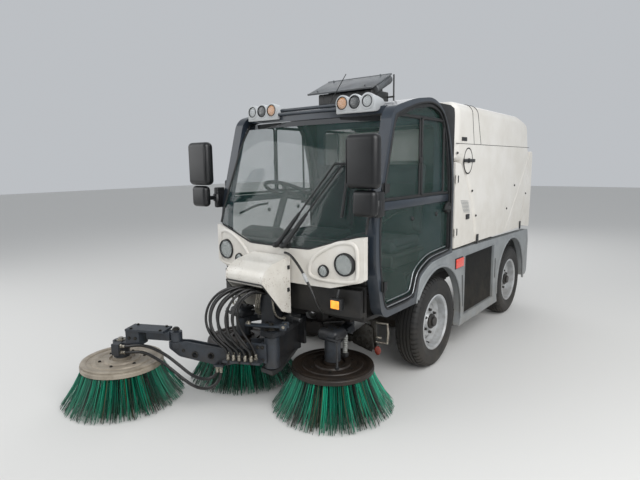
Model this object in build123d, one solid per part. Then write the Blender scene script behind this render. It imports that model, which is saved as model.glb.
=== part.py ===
from build123d import *
import os
from math import atan2, cos, degrees, pi, radians, sin, tan

# Compact road sweeper: a two-seat cab over the front axle, a tipping hopper behind it, two gutter
# brushes under the cab and a third brush on a jointed arm in front.
# Millimetres, +Z up, the front looks towards -Y and the vehicle's left side is +X.
# Drawn about the floor point under the middle of the front axle, then shifted in keep().

# Running gear
wheelbase = 1730
track = 1125
tyre_radius = 347
tyre_width = 195
rim_radius = 212
kingpin_x = 430
kingpin_radius = 15
spindle_radius = 24
rail_x = (165, 225)
rail_z = (420, 500)
pin_gap = 0.05
tow_eye_y = 2222
tow_eye_radius = 16
jack_pad_y = 1100
jack_pad_z = 408

# Body
half_width = 680
cab_half = 600
deck_z = 800
cab_rear_y = 185
cab_post_rear_y = 190
roof_rear_y = -30
housing_front_y = 207
lid_z = 1690
body_top_z = 2000
wall = 40
moving_gap = 6

# Windscreen, roof edge and front panel are bowed about an upright line behind them
front_axis_y = 2340
roof_front_y = -722

# Hinge lines (x, y) or (y, z)
door_hinge = (694, -850)
hatch_hinge = (690, 212)
hopper_hinge = (2190, 800)
tailgate_hinge = (2178, 1676)

# Brushes
brush_tip_radius = 398
brush_disc_radius = 262
brush_disc_z = (258, 284)
bristle_low_z = 4
left_brush = (395, -985)
brush_pivot = (300, -655)
right_brush_parked_out = 8

# Third brush arm, measured along the arm from its swivel
swivel = (145, -1279)
arm_heading = 205
arm_reach = 1060
lift_pin = (120, 400)
elbow_reach = 650
third_disc_z = (244, 270)
hose_port_y = -1200
hose_bracket_z = 364
hose_clamp_z = 300
port_face_s = 1022
bundle_hose_radius = 8
brush_hose_radius = 10

mirror_outer_x = 800
tailgate_rear_y = 2260

# The box over everything, on the floor, is centred on the origin
box_right = swivel[0] + arm_reach * cos(radians(arm_heading)) - brush_tip_radius
box_left = mirror_outer_x
box_front = swivel[1] + arm_reach * sin(radians(arm_heading)) - brush_tip_radius
box_rear = tailgate_rear_y
shift = Vector(-(box_left + box_right) / 2, -(box_front + box_rear) / 2, 0)

os.makedirs("parts", exist_ok=True)


def keep(name, *solids):
    """Write one named piece, moved to the common frame."""
    shape = solids[0] if len(solids) == 1 else Compound(children=list(solids))
    export_step(shape.moved(Location(shift)), f"parts/{name}.step")


def box(x, y, z):
    """A block from three (low, high) pairs."""
    size = [high - low for low, high in (x, y, z)]
    middle = [(high + low) / 2 for low, high in (x, y, z)]
    return Pos(*middle) * Box(*size)


def rod(start, end, radius):
    """A round bar between two points."""
    a, b = Vector(start), Vector(end)
    return Solid.make_cylinder(radius, (b - a).length, Plane(a, z_dir=b - a))


def tube(start, end, radius, inner):
    """A round bar with a bore right through."""
    a, b = Vector(start), Vector(end)
    over = (b - a).normalized()
    return rod(a, b, radius) - rod(a - over, b + over, inner)


def side_face(points, corner=0):
    """A closed outline of (y, z) points with rounded corners, in the lengthwise upright plane."""
    return Plane.YZ * make_face(FilletPolyline(*points, radius=corner, close=True))


def across(face, x):
    """A lengthwise upright face pulled out between two x values."""
    return extrude(face.moved(Location((x[0], 0, 0))), x[1] - x[0], dir=(1, 0, 0))


def plan(points, z, corner=0):
    """A plate with an (x, y) outline between two heights."""
    face = make_face(FilletPolyline(*points, radius=corner, close=True))
    return extrude(face.moved(Location((0, 0, z[0]))), z[1] - z[0], dir=(0, 0, 1))


def front_cut(points, corner=0):
    """A solid with an (x, z) outline through the whole front of the cab."""
    face = Plane.XZ * make_face(FilletPolyline(*points, radius=corner, close=True))
    return extrude(face.moved(Location((0, -300, 0))), 1200, dir=(0, -1, 0))


def other_side(shape):
    """The same piece on the right side of the vehicle."""
    return mirror(shape, about=Plane.YZ)


def bowed(profile, axis_y, x):
    """A (y, z) profile turned about an upright line, kept between two x values."""
    line = Axis((0, axis_y, 0), (0, 0, 1))
    turned = revolve(profile.rotate(line, -40), axis=line, revolution_arc=80)
    return turned & box(x, (-1300, -200), (0, 2200))


# Chassis: two rails on cross members, with posts at the rear that carry the hopper's pins
left_rail = box(rail_x, (-900, 2160), rail_z)
cross_members = [
    box((-rail_x[0], rail_x[0]), (y, y + 60), (rail_z[0], rail_z[0] + 70))
    for y in (-900, -420, 590, 1200, 2080)
]
chassis = left_rail + other_side(left_rail)
for member in cross_members:
    chassis += member
# Cab feet: y from, y to, top z
for y0, y1, z1 in [(-860, -800, 574.5), (-470, -432, 574.5), (100, 170, 775.5)]:
    for side in (-1, 1):
        x = sorted((side * rail_x[0], side * rail_x[1]))
        chassis += box(x, (y0, y1), (rail_z[1], z1))
hinge_y, hinge_z = hopper_hinge
for side in (-1, 1):
    x = sorted((side * 180, side * 215))
    chassis += box(x, (hinge_y - 38, hinge_y + 38), (rail_z[0], hinge_z))
    chassis += rod((x[0], hinge_y, hinge_z), (x[1], hinge_y, hinge_z), 38)
    x = sorted((side * 170, side * 225))
    chassis -= rod((x[0], hinge_y, hinge_z), (x[1], hinge_y, hinge_z), 15 + pin_gap)
    # feet of the gutter brush arms: an upper and a lower ear on a bracket under each rail
    px, py = side * brush_pivot[0], brush_pivot[1]
    ears = box(sorted((side * 215, side * 335)), (py - 45, py + 45), (470, 490))
    ears += box(sorted((side * 165, side * 335)), (py - 45, py + 45), (330, 350))
    ears += box(sorted((side * 165, side * 225)), (py - 45, py + 45), (340, 425))
    ears -= rod((px, py, 320), (px, py, 500), 14 + pin_gap)
    chassis += ears
    # jacking pad under each rail
    x = sorted((side * rail_x[0], side * rail_x[1]))
    chassis += box(x, (jack_pad_y - 40, jack_pad_y + 40), (jack_pad_z, rail_z[0]))
# towing tongue under the rear cross member
chassis += box((-40, 40), (2080, 2140), (300, 430)) + box((-40, 40), (2080, 2255), (300, 325))
chassis -= rod((0, tow_eye_y, 290), (0, tow_eye_y, 335), tow_eye_radius)
keep("chassis_frame", chassis)

# Front axle: a beam with a fork at each end for the kingpin, and a pad under each rail
axle = box((-385, 385), (-38, 38), (305, 385))
for side in (-1, 1):
    x = sorted((side * 380, side * (kingpin_x + 32)))
    for z in ((250, 276), (424, 450)):
        axle += box(x, (-32, 32), z)
    axle += box(sorted((side * 360, side * 392)), (-20, 20), (250, 450))
    axle += box(sorted((side * rail_x[0], side * rail_x[1])), (-45, 45), (380, 419.5))
    axle -= rod((side * kingpin_x, 0, 240), (side * kingpin_x, 0, 460), kingpin_radius + pin_gap)
keep("front_axle", axle)

# Steering knuckles: an upright pin in the axle's fork and the spindle that the wheel turns on
knuckle = rod((kingpin_x, 0, 240), (kingpin_x, 0, 460), kingpin_radius)
knuckle += rod((kingpin_x, 0, 281), (kingpin_x, 0, 419), 30)
knuckle += rod((kingpin_x, 0, tyre_radius), (600, 0, tyre_radius), spindle_radius)
knuckle += rod((455, 0, tyre_radius), (500, 0, tyre_radius), 60)
knuckle += box((418, 444), (20, 150), (330, 350))
keep("knuckle_left", knuckle)
keep("knuckle_right", other_side(knuckle))

# Rear axle: a round beam with a spindle at each end
rear_axle = rod((-455, wheelbase, tyre_radius), (455, wheelbase, tyre_radius), 45)
rear_axle += rod((-600, wheelbase, tyre_radius), (600, wheelbase, tyre_radius), spindle_radius)
for side in (-1, 1):
    rear_axle += rod((side * 440, wheelbase, tyre_radius), (side * 500, wheelbase, tyre_radius), 60)
    x = sorted((side * rail_x[0], side * rail_x[1]))
    rear_axle += box(x, (wheelbase - 45, wheelbase + 45), (tyre_radius, 419.5))
keep("rear_axle", rear_axle)


def wheel(name, side, y):
    """A tyre and its rim; the profiles are (radius, distance from the vehicle's middle)."""
    middle = track / 2
    half = tyre_width / 2
    outline = [
        (rim_radius + 0.3, middle - half + 16),
        (rim_radius + 55, middle - half),
        (tyre_radius - 30, middle - half + 4),
        (tyre_radius, middle - half + 26),
        (tyre_radius, middle + half - 26),
        (tyre_radius - 30, middle + half - 4),
        (rim_radius + 55, middle + half),
        (rim_radius + 0.3, middle + half - 16),
    ]
    rounding = [4, 30, 22, 18, 18, 22, 30, 4]
    line = Axis((0, y, tyre_radius), (1, 0, 0))

    def turned(points, corner):
        face = make_face(FilletPolyline(*[(x, y + r, tyre_radius) for r, x in points],
                                        radius=corner, close=True))
        return revolve(face, axis=line)

    tyre = turned(outline, rounding)
    rim = turned([
        (rim_radius, middle - half + 14),
        (rim_radius, middle + half - 14),
        (rim_radius - 8, middle + half - 10),
        (rim_radius - 20, middle + half - 22),
        (rim_radius - 24, middle + 18),
        (150, middle + 2),
        (112, middle + 26),
        (72, middle + 26),
        (62, middle + 42),
        (spindle_radius + pin_gap, middle + 42),
        (spindle_radius + pin_gap, middle - 58),
        (62, middle - 58),
        (62, middle + 6),
        (112, middle + 8),
        (150, middle - 16),
        (rim_radius - 26, middle + 4),
        (rim_radius - 26, middle - half + 14),
    ], 0)
    for step in range(8):
        angle = radians(45 * step)
        a, b = y + 132 * cos(angle), tyre_radius + 132 * sin(angle)
        rim -= rod((middle - 40, a, b), (middle + 60, a, b), 17)
    shapes = [tyre, rim] if side > 0 else [other_side(tyre), other_side(rim)]
    keep(f"tyre_{name}", shapes[0])
    keep(f"rim_{name}", shapes[1])


for name, side, y in [("front_left", 1, 0), ("front_right", -1, 0),
                      ("rear_left", 1, wheelbase), ("rear_right", -1, wheelbase)]:
    wheel(name, side, y)

# Engine: one closed block on the rails behind the cab
keep("engine_block", box((-290, 290), (262, 560), (505, 1080)))

# Cab: outline of its side from the sill's rear corner round the front, the roof and the rear post
cab_outline = [(-405, 592), (-852, 592), (-928, 930), (-925, 1226), (-735, 1885), (-455, 1957),
               (-190, 1988), (-20, 1930), (95, 1775), (cab_post_rear_y, 1480), (cab_post_rear_y, 862),
               (-170, 846), (-352, 765)]
cab_rounding = [20, 90, 600, 900, 130, 1200, 350, 290, 500, 900, 6, 60, 110]
door_opening = [(-428, 640), (-818, 640), (-878, 930), (-885, 1226), (-704, 1842), (-455, 1920),
                (-190, 1955), (-28, 1912), (62, 1785), (152, 1455), (152, 880), (-178, 866), (-378, 780)]
opening_rounding = [30, 60, 600, 900, 110, 1200, 400, 180, 450, 1200, 20, 60, 100]
outer_side = side_face(cab_outline, cab_rounding)
inner_side = side_face(door_opening, opening_rounding)
cab_sides = []
for x in ((cab_half + 4, half_width), (-half_width, -cab_half - 4)):
    cab_sides.append(across(outer_side, x) - across(inner_side, (x[0] - 5, x[1] + 5)))
keep("cab_sides", *cab_sides)

# Cab tub: front wall below the panel, floor, step up over the axle and deck, as one bent sheet
tub_outline = [(-905, 600), (-905, 800), (-930, 800), (-930, 575), (-405, 575), (-405, 776),
               (cab_rear_y, 776), (cab_rear_y, deck_z), (-430, deck_z), (-430, 600)]
tub = across(side_face(tub_outline), (-cab_half, cab_half))
nose = bowed(side_face([(-1030, 615), (-1030, 785), (-1000, 785), (-1000, 615)]), front_axis_y,
             (-cab_half, cab_half))
nose += box((-cab_half, cab_half), (-1005, -925), (615, 640)) & bowed(
    side_face([(-1030, 600), (-1030, 660), (-600, 660), (-600, 600)]), front_axis_y,
    (-cab_half, cab_half))
keep("cab_tub", tub + nose)

# Rear wall of the cab with its window opening, and the dark band round the roof's rear corner
rear_wall = box((-cab_half, cab_half), (150, cab_rear_y), (deck_z + 0.5, 1938))
rear_opening = box((-530, 530), (100, 230), (1300, 1840))
rear_opening = fillet(rear_opening.edges().filter_by(Axis.Y), 60)
rear_wall -= rear_opening
rear_wall += across(side_face([(roof_rear_y + 0.2, 1946), (100, 1936), (152, 1936), (152, 1890),
                               (roof_rear_y + 0.2, 1906)]), (-cab_half, cab_half))
keep("cab_rear_wall", rear_wall)

# Roof panel, its front edge bowed like the windscreen's head
roof_outline = [(-1000, 1848), (-1000, 1876), (-735, 1884), (-455, 1955), (-190, 1986),
                (roof_rear_y, 1946), (roof_rear_y, 1906), (-200, 1945), (-455, 1915), (-700, 1848)]
roof_rounding = [0, 0, 200, 1200, 350, 0, 0, 350, 600, 100]
roof = across(side_face(roof_outline, roof_rounding), (-cab_half, cab_half))
head = Cylinder(front_axis_y - roof_front_y, 600).moved(Location((0, front_axis_y, 1850)))
roof = roof & head
keep("roof_panel", roof)


# Windscreen: a bowed pane above the panel's wavy top edge
pane_outline = [(-1050, 960), (-1042, 1090), (-948, 1400), (-835, 1700), (-735, 1842), (-729, 1838),
                (-829, 1697), (-942, 1398), (-1036, 1089), (-1044, 960)]
pane = bowed(side_face(pane_outline, [0, 500, 2000, 500, 0, 0, 494, 2006, 506, 0]), front_axis_y,
             (-640, 640))
pane = pane & front_cut([(-640, 900), (640, 900), (640, 1250), (600, 1500), (600, 1850), (-600, 1850),
                         (-600, 1500), (-640, 1250)])
panel_top = [(-700, 1124), (-600, 1114), (-430, 1070), (-260, 1016), (260, 1016), (430, 1070),
             (600, 1114), (700, 1124)]
panel_top_corner = [90, 300, 130, 130, 300, 90]
above_panel = front_cut([(x, z + 4) for x, z in panel_top] + [(700, 2100), (-700, 2100)],
                        [0] + panel_top_corner + [0, 0, 0])
windscreen = pane & above_panel
rear_pane = box((-526, 526), (160, 166), (1304, 1836))
rear_pane = fillet(rear_pane.edges().filter_by(Axis.Y), 57)
keep("cab_glass", windscreen, rear_pane)

# Front panel: a thick bowed moulding with round openings for the four lamps
panel = bowed(side_face([(-1062, 700), (-1062, 1160), (-1022, 1160), (-1022, 700)]),
              front_axis_y, (-642, 642))
below_top = front_cut([(x, z) for x, z in panel_top]
                      + [(642, 850), (420, 792), (-420, 792), (-642, 850)],
                      [0] + panel_top_corner + [0, 40, 60, 60, 40])
panel = panel & below_top
lamp_places = [(519, 948, 72), (372, 895, 40)]
for x, z, r in lamp_places:
    for side in (-1, 1):
        panel -= rod((side * x, -1300, z), (side * x, -700, z), r)
keep("front_panel", panel)

# Front lamps: a drum with a domed lens in each opening
lamps = []
for x, z, r in lamp_places:
    for side in (-1, 1):
        face_y = -1040 if r > 60 else -1046
        lamps.append(rod((side * x, face_y, z), (side * x, -1004, z), r - 2))
work_lamp = box((445, 520), (-1080, -1033), (672, 738))
lamps.append(work_lamp)
keep("front_lamps", *lamps)

# Inside the cab: dashboard, steering wheel on its column, two seats on the deck
dash = across(side_face([(-900, 804), (-990, 990), (-880, 1040), (-720, 1010), (-700, 940),
                         (-840, 804)], [0, 30, 60, 30, 30, 0]), (-590, 590))
keep("dashboard", dash & bowed(side_face([(-1000, 790), (-1000, 1100), (-600, 1100),
                                          (-600, 790)]), front_axis_y, (-590, 590)))
wheel_middle = Vector(-330, -580, 1352)
wheel_plane = Plane(wheel_middle, z_dir=(0, 0.42, 0.91))
steering = wheel_plane * Torus(165, 14)
for angle in (90, 210, 330):
    a, b = 160 * cos(radians(angle)), 160 * sin(radians(angle))
    steering += wheel_plane * (Pos(a / 2, b / 2, 0) * Rot(0, 0, angle) * Box(160, 26, 14))
steering += wheel_plane * Cylinder(36, 40)
column_end = wheel_middle - wheel_plane.z_dir * 400
steering += rod(wheel_middle, column_end, 26)
keep("steering_wheel", steering - dash)
seats = []
for x in (-330, 290):
    seat = box((x - 200, x + 200), (-400, 20), (deck_z + 1, 900))
    seat += box((x - 235, x + 235), (-430, 60), (900, 1010))
    seat += across(side_face([(0, 940), (-45, 1020), (30, 1560), (110, 1560), (120, 940)],
                             [0, 30, 40, 40, 0]), (x - 230, x + 230))
    seats.append(seat)
keep("seats", *seats)

# Roof lamp pods, with the two rails that join them across the roof's front edge
pods = []
for side in (-1, 1):
    pod = box(sorted((side * 258, side * 550)), (-745, -520), (1848, 1982))
    pod = fillet(pod.edges().filter_by(Axis.Z), 50)
    pods.append(pod)
roof_rails = [rod((-280, y, z), (280, y, z), 12) for y, z in ((-738, 1900), (-702, 1931))]
pod_bar = pods[0] + pods[1] + roof_rails[0] + roof_rails[1]
pod_bar -= roof
pod_bar -= across(side_face([(-700, 1700), (-700, 1893.5), (-455, 1956), (-300, 1975), (-300, 1700)]),
                  (-700, 700))
keep("roof_lamp_pods", *pod_bar.solids())

# Roof unit: a black box under a sloping plate, with a drum under the plate's left edge and a post
unit = box((-285, 208), (-230, 20), (1989, 2088))
unit += Pos(-60, -130, 2150) * Rot(24.5, 0, 0) * Box(600, 320, 14)
unit += box((-240, 180), (-160, -20), (2085, 2140))
unit += rod((205, -190, 2085), (205, 30, 2185), 34)
unit += rod((262, 0, 1946), (262, 0, 2210), 6)
unit += box((205, 268), (-6, 6), (2040, 2052))
keep("roof_unit", unit)

# Mirrors: a tall head on a bracket that is held by the cab's front post
mirror_left = box((585, mirror_outer_x), (-1130, -1045), (1405, 1712))
mirror_left = fillet(mirror_left.edges().filter_by(Axis.Z), 30)
mirror_left += box((640, 780), (-1120, -1050), (1250, 1398))
mirror_left += rod((700, -1085, 1240), (700, -1085, 1420), 14)
mirror_left += box((650, 720), (-1100, -935), (1290, 1330))
mirror_left += box((684, 712), (-960, -880), (1240, 1380))
keep("mirrors", mirror_left, other_side(mirror_left))

# Wiper: a block on the panel's top carries two parallel arms, joined by a bar behind the blade
wiper_foot = (34, 93)
wiper_tip = (Vector(359, -900, 1547), Vector(420, -895, 1549))
wiper = box((12, 115), (-1075, -1050), (1016.5, 1050))
for x, tip in zip(wiper_foot, wiper_tip):
    foot = Vector(x, -1092, 1036)
    wiper += rod((x, -1062, 1036), (x, -1104, 1036), 13)
    wiper += rod(foot, foot + (tip - foot) * 0.4, 10) + rod(foot, tip, 6)
wiper += rod(wiper_tip[0], Vector(459, -884, 1549), 7)
blade = [Vector(475, -992, 1229), Vector(464, -921, 1450), Vector(460, -845, 1655)]
wiper += rod(blade[0], blade[1], 8) + rod(blade[1], blade[2], 8) + Pos(*blade[1]) * Sphere(8)
keep("wipers", wiper)

# Third brush tower: a post ahead of the cab with an upper and a lower plate for the swivel
sx, sy = swivel
tower_back = -901
tower = box((-110, 110), (-925, tower_back), (335, 535))
tower += plan([(-110, tower_back), (110, tower_back), (200, sy + 60), (200, sy - 50),
               (95, sy - 50), (-110, -1100)], (505, 535))
tower += plan([(-90, tower_back), (30, tower_back), (185, sy + 40), (190, sy - 50),
               (95, sy - 50), (-90, -1000)], (270, 295))
tower += box((-60, 60), (-1130, tower_back), (290, 510))
tower += box((-50, 70), (-1170, -1080), (530, 880))
tower += box((-150, 105), (hose_port_y, -1165), (735, 795))
tower -= rod((sx, sy, 200), (sx, sy, 600), 20 + pin_gap)
keep("tower_frame", tower)

# Tower cover: a white hood over the post, open below
hood_outline = [(-1072, 590), (-1158, 622), (-1331, 824), (-1325, 893), (-1235, 940),
                (-1072, 968)]
hood_rounding = [0, 40, 60, 60, 80, 0]
hood_outer = across(side_face(hood_outline, hood_rounding), (-200, 125))
hood_inner = across(offset(side_face(hood_outline, hood_rounding), -8),
                    (-190, 115))
slot = across(side_face([(-1060, 500), (-1150, 560), (-1316, 800), (-1316, 830), (-1060, 830)]),
              (-190, 115))
keep("tower_cover", hood_outer - hood_inner - slot)

# Skirts: the grey lower bodywork with both wheel arches and the grille's opening
skirt_outline = [(-398, 586), (-344, 759), (-167, 839.5), (190, 855.5), (200, 870), (2212, 822),
                 (2248, 700), (2236, 330), (1730, 330), (1730, 220), (-25, 220), (-25, 586)]
skirt_rounding = [6, 110, 60, 0, 0, 20, 60, 60, 0, 0, 0, 0]
skirt = across(side_face(skirt_outline, skirt_rounding), (622, 680))
front_arch = (-25, 355, 425)
rear_arch = (1682, 370, 420)
for y, z, r in (front_arch, rear_arch):
    skirt -= rod((600, y, z), (700, y, z), r)
skirt -= box((600, 700), (-25, 40), (200, 360))
skirt -= box((600, 700), (1600, 1760), (200, 360))
skirt -= box((600, 700), (456, 1148), (300, 790))
apron = box((-622, 622), (2232, 2246), (340, 700))
keep("skirts", skirt + other_side(skirt) + apron)
grille = box((640, 668), (460, 1144), (304, 786))
keep("side_grilles", grille, other_side(grille))

# Hopper: outline of its side, cut back in front along the hatch's arc
hopper_front = [(655, 882), (628, 1010), (575, 1175), (470, 1365), (335, 1545), (210, 1562)]
hopper_outline = hopper_front + [(housing_front_y, body_top_z), (1760, 1990), (1900, 1968),
                                 (2060, 1935), (2125, lid_z), (2166, 1645), (1917, 872)]
hopper_rounding = [0, 120, 200, 300, 60, 8, 30, 200, 200, 90, 8, 0, 0]
hopper_side = side_face(hopper_outline, hopper_rounding)
hopper_solid = across(hopper_side, (-half_width, half_width))
top_edges = hopper_solid.edges().filter_by(lambda e: e.center().Z > 1960 and e.length > 1000)
hopper_solid = fillet(top_edges, 70)
inside = across(offset(hopper_side, -wall), (-half_width + wall, half_width - wall))
mouth = across(side_face([(2040, 1660), (2300, 1660), (2050, 900), (1880, 900)]),
               (-half_width + wall, half_width - wall))
inlet = rod((0, 760, 800), (0, 760, 960), 112)
hopper = hopper_solid - inside - mouth - inlet
gate_y, gate_z = tailgate_hinge
for side in (-1, 1):
    x = sorted((side * 222, side * 250))
    hopper += across(side_face([(1560, 872), (1560, 905), (1900, 905), (1900, 838), (hinge_y + 30, 834),
                                (hinge_y + 30, hinge_z - 30), (hinge_y - 30, hinge_z - 30)]), x)
    hopper += rod((side * 176, hinge_y, hinge_z), (side * 250, hinge_y, hinge_z), 15)
    # ears of the tailgate's hinges: they hold its two short pins
    for ear_x in (368, 462):
        x = sorted((side * ear_x, side * (ear_x + 10)))
        ear = across(side_face([(2095, 1690), (2150, 1712), (2180, 1696), (2196, 1676), (2180, 1660),
                                (2150, 1655)], [0, 8, 10, 12, 8, 0]), x)
        hopper += ear - rod((x[0] - 5, gate_y, gate_z), (x[1] + 5, gate_y, gate_z), 9 + pin_gap)
keep("hopper_shell", hopper)

# Tailgate: a deep door across the whole rear, hung from its top edge
gate_outline = [(2180, 1648), (tailgate_rear_y, 1655), (tailgate_rear_y, 1330), (2244, 848),
                (1931, 892)]
gate_side = side_face(gate_outline, [0, 40, 300, 30, 0])
gate = across(gate_side, (-half_width, half_width))
gate -= across(side_face([(2100, 1700), (2212, 1608), (2206, 1330), (2200, 894), (1850, 943)]),
               (-half_width + wall, half_width - wall))
for side in (-1, 1):
    gate += rod((side * 364, gate_y, gate_z), (side * 476, gate_y, gate_z), 9)
    gate += box(sorted((side * 384, side * 456)), (gate_y - 4, gate_y + 22), (1640, gate_z))
keep("tailgate", gate)

# Side hatches beside the engine bay, hinged at the front edge
hatch_outline = [(214, 884), (214, 1552), (326, 1534), (458, 1360), (562, 1172), (615, 1010),
                 (642, 886)]
hatch = across(side_face(hatch_outline, [6, 8, 60, 300, 200, 120, 6]), (640, half_width))
for z in (1010, 1420):
    hatch += rod((hatch_hinge[0], hatch_hinge[1], z - 30), (hatch_hinge[0], hatch_hinge[1], z + 30), 9)
    hatch += box((670, 690), (214, 236), (z - 28, z + 28))
keep("hatch_left", hatch)
keep("hatch_right", other_side(hatch))

# Bulkhead behind the cab that carries the hatch hinges
bulkhead = box((-636, 636), (193, 202), (876, 1990))
top_corners = bulkhead.edges().filter_by(Axis.Y).filter_by(lambda edge: edge.center().Z > 1900)
bulkhead = fillet(top_corners, 120) - box((-400, 400), (180, 210), (1290, 1850))
bulkhead += box((-225, 225), (193, 202), (500, 880))
keep("engine_bulkhead", bulkhead)

# Doors: a frame along the whole opening with one pane in it
door_outer = offset(inner_side, -moving_gap)
door_inner = offset(inner_side, -moving_gap - 20)
door_frame = across(door_outer, (636, 672)) - across(door_inner, (630, 680))
hx, hy = door_hinge
for z, tab_y in ((800, -836), (1400, -816)):
    door_frame += rod((hx, hy, z - 35), (hx, hy, z + 35), 9)
    door_frame += box((682, 690), (hy, tab_y + 26), (z - 25, z + 25))
    door_frame += box((670, 690), (tab_y, tab_y + 26), (z - 25, z + 25))
door_glass = across(offset(inner_side, -moving_gap - 20.2), (650, 656))
door_glass -= rod((600, 104, 1215), (700, 104, 1215), 24)
door_frame += rod((640, 104, 1215), (684, 104, 1215), 23.6)
door_frame += box((640, 649.5), (60, 142), (1200, 1230))
keep("door_frame_left", door_frame)
keep("door_frame_right", other_side(door_frame))
keep("door_glass_left", door_glass)
keep("door_glass_right", other_side(door_glass))


def brush_disc(middle, disc_z):
    """The steel disc that the bristles are clamped to, with its hub."""
    x, y = middle
    disc = rod((x, y, disc_z[0]), (x, y, disc_z[1]), brush_disc_radius)
    disc += rod((x, y, disc_z[1]), (x, y, disc_z[1] + 22), 60)
    return disc - rod((x, y, disc_z[0] - 5), (x, y, disc_z[1] + 30), 16 + pin_gap)


def bristle_ring(middle, disc_z):
    """The flared crown of bristles under a disc, as one closed ring."""
    x, y = middle
    top = disc_z[0] - 0.2
    profile = [(205, top), (brush_disc_radius - 4, top), (brush_tip_radius, bristle_low_z),
               (250, bristle_low_z)]
    face = Plane.XZ * make_face(Polyline(*profile, close=True))
    return revolve(face, axis=Axis.Z).moved(Location((x, y, 0)))


def brush_arm(middle, disc_z, pivot):
    """A gutter brush arm from its upright pin out to the motor over the disc."""
    x, y = middle
    px, py = pivot
    top = disc_z[1] + 24
    arm = rod((px, py, 322), (px, py, 498), 14)
    arm += rod((px, py, 356), (px, py, 464), 34)
    length = ((x - px) ** 2 + (y - py) ** 2) ** 0.5
    heading = degrees(atan2(y - py, x - px))
    beam = box((20, length - 30), (-32, 32), (400, 450)).moved(Location((px, py, 0), (0, 0, heading)))
    arm += beam
    arm += rod((x, y, top), (x, y, 450), 52)
    arm += rod((x, y, disc_z[0] + 2), (x, y, top + 5), 16)
    return arm


left_disc = brush_disc(left_brush, brush_disc_z)
left_ring = bristle_ring(left_brush, brush_disc_z)
left_arm = brush_arm(left_brush, brush_disc_z, brush_pivot)
park_line = Axis((-brush_pivot[0], brush_pivot[1], 0), (0, 0, 1))
for name, shape in [("brush_arm", left_arm), ("brush_disc", left_disc), ("bristles", left_ring)]:
    keep(f"{name}_left", shape)
    keep(f"{name}_right", other_side(shape).rotate(park_line, -right_brush_parked_out))

# Third brush arm, drawn along +X from the swivel and then turned to its heading
swivel_block = rod((0, 0, 302), (0, 0, 498), 48)
swivel_block += rod((0, 0, 262), (0, 0, 542), 20)
lift_s, lift_z = lift_pin
for y in ((-52, -34), (34, 52)):
    swivel_block += box((20, lift_s + 30), y, (340, 460)) - rod(
        (lift_s, -60, lift_z), (lift_s, 60, lift_z), 15 + pin_gap)
swivel_block += box((20, 60), (-52, 52), (340, 460))
swivel_block += box((40, 280), (51, 122), (hose_bracket_z - 12, hose_bracket_z))
inner_arm = rod((lift_s, -60, lift_z), (lift_s, 60, lift_z), 15)
inner_arm += rod((lift_s, -28, lift_z), (lift_s, 28, lift_z), 30)
for y in ((-28, -16), (16, 28)):
    plate = extrude(Plane.XZ.offset(-y[1]) * make_face(FilletPolyline(
        (lift_s - 25, 425), (lift_s - 25, 350), (330, 285), (620, 330), (690, 380), (690, 425),
        (560, 430), (300, 400), radius=[20, 20, 60, 60, 20, 20, 20, 60], close=True)), y[1] - y[0],
        dir=(0, -1, 0))
    for s, r in ((400, 15), (510, 15)):
        plate -= rod((s, -60, 350), (s, 60, 350), r)
    inner_arm += plate
inner_arm += box((620, 690), (-28, 28), (382, 425))
inner_arm += box((300, 362), (27, 78), (hose_clamp_z, hose_clamp_z + 12))
elbow_ears = rod((elbow_reach, 0, 385), (elbow_reach, 0, 425), 40)
inner_arm += elbow_ears
inner_arm += rod((elbow_reach, 0, 425), (elbow_reach, 0, 500), 15)
outer_arm = rod((elbow_reach, 0, 428), (elbow_reach, 0, 488), 38)
outer_arm -= rod((elbow_reach, 0, 420), (elbow_reach, 0, 495), 15 + pin_gap)
outer_arm += box((elbow_reach + 34, 850), (-30, 30), (430, 486))
outer_arm += box((elbow_reach + 60, 985), (-60, 60), (486, 500))
outer_arm += box((890, 985), (-55, 55), (400, 490))
outer_arm += box((890, arm_reach), (-50, 50), (385, 402))
outer_arm += rod((arm_reach, 0, 294), (arm_reach, 0, 402), 52)
outer_arm += rod((arm_reach, 0, third_disc_z[0] + 2), (arm_reach, 0, 300), 16)
outer_arm += box((port_face_s, arm_reach + 12), (30, 92), (328, 402))
third_disc = brush_disc((arm_reach, 0), third_disc_z)
third_ring = bristle_ring((arm_reach, 0), third_disc_z)
at_swivel = Location((sx, sy, 0), (0, 0, arm_heading))
for name, shape in [("third_swivel", swivel_block), ("third_inner_arm", inner_arm),
                    ("third_outer_arm", outer_arm), ("brush_disc_third", third_disc),
                    ("bristles_third", third_ring)]:
    keep(name, shape.moved(at_swivel))

# Suction mouth between the axles and its duct up to the hopper's inlet
mouth_shell = box((-400, 400), (560, 960), (25, 170)) - box((-380, 380), (580, 940), (10, 150))
duct = tube((0, 760, 160), (0, 760, 842), 105, 95)
mouth_shell -= rod((0, 760, 140), (0, 760, 180), 95)
keep("suction_mouth", mouth_shell + duct)


def hose(points, radius):
    """A hose along hand-set points, each bend as wide as its two runs allow."""
    points = [Vector(*point) for point in points]
    bends = []
    for before, here, after in zip(points, points[1:], points[2:]):
        turn = radians((here - before).get_angle(after - here))
        shorter = min((here - before).length, (after - here).length)
        bends.append(0.45 * shorter / tan(turn / 2))
    path = FilletPolyline(*points, radius=bends)
    print("hose length", round(path.length), "bend radii", [round(bend) for bend in bends])
    start = Plane(path @ 0, z_dir=path % 0)
    body = sweep(start * Circle(radius), path=path)
    print("volume share", round(body.volume / (pi * radius ** 2 * path.length), 4))
    return body


def on_arm(s, y, z):
    """A point along the third arm, in the vehicle's frame."""
    c, d = cos(radians(arm_heading)), sin(radians(arm_heading))
    return (sx + s * c - y * d, sy + s * d + y * c, z)


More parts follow.
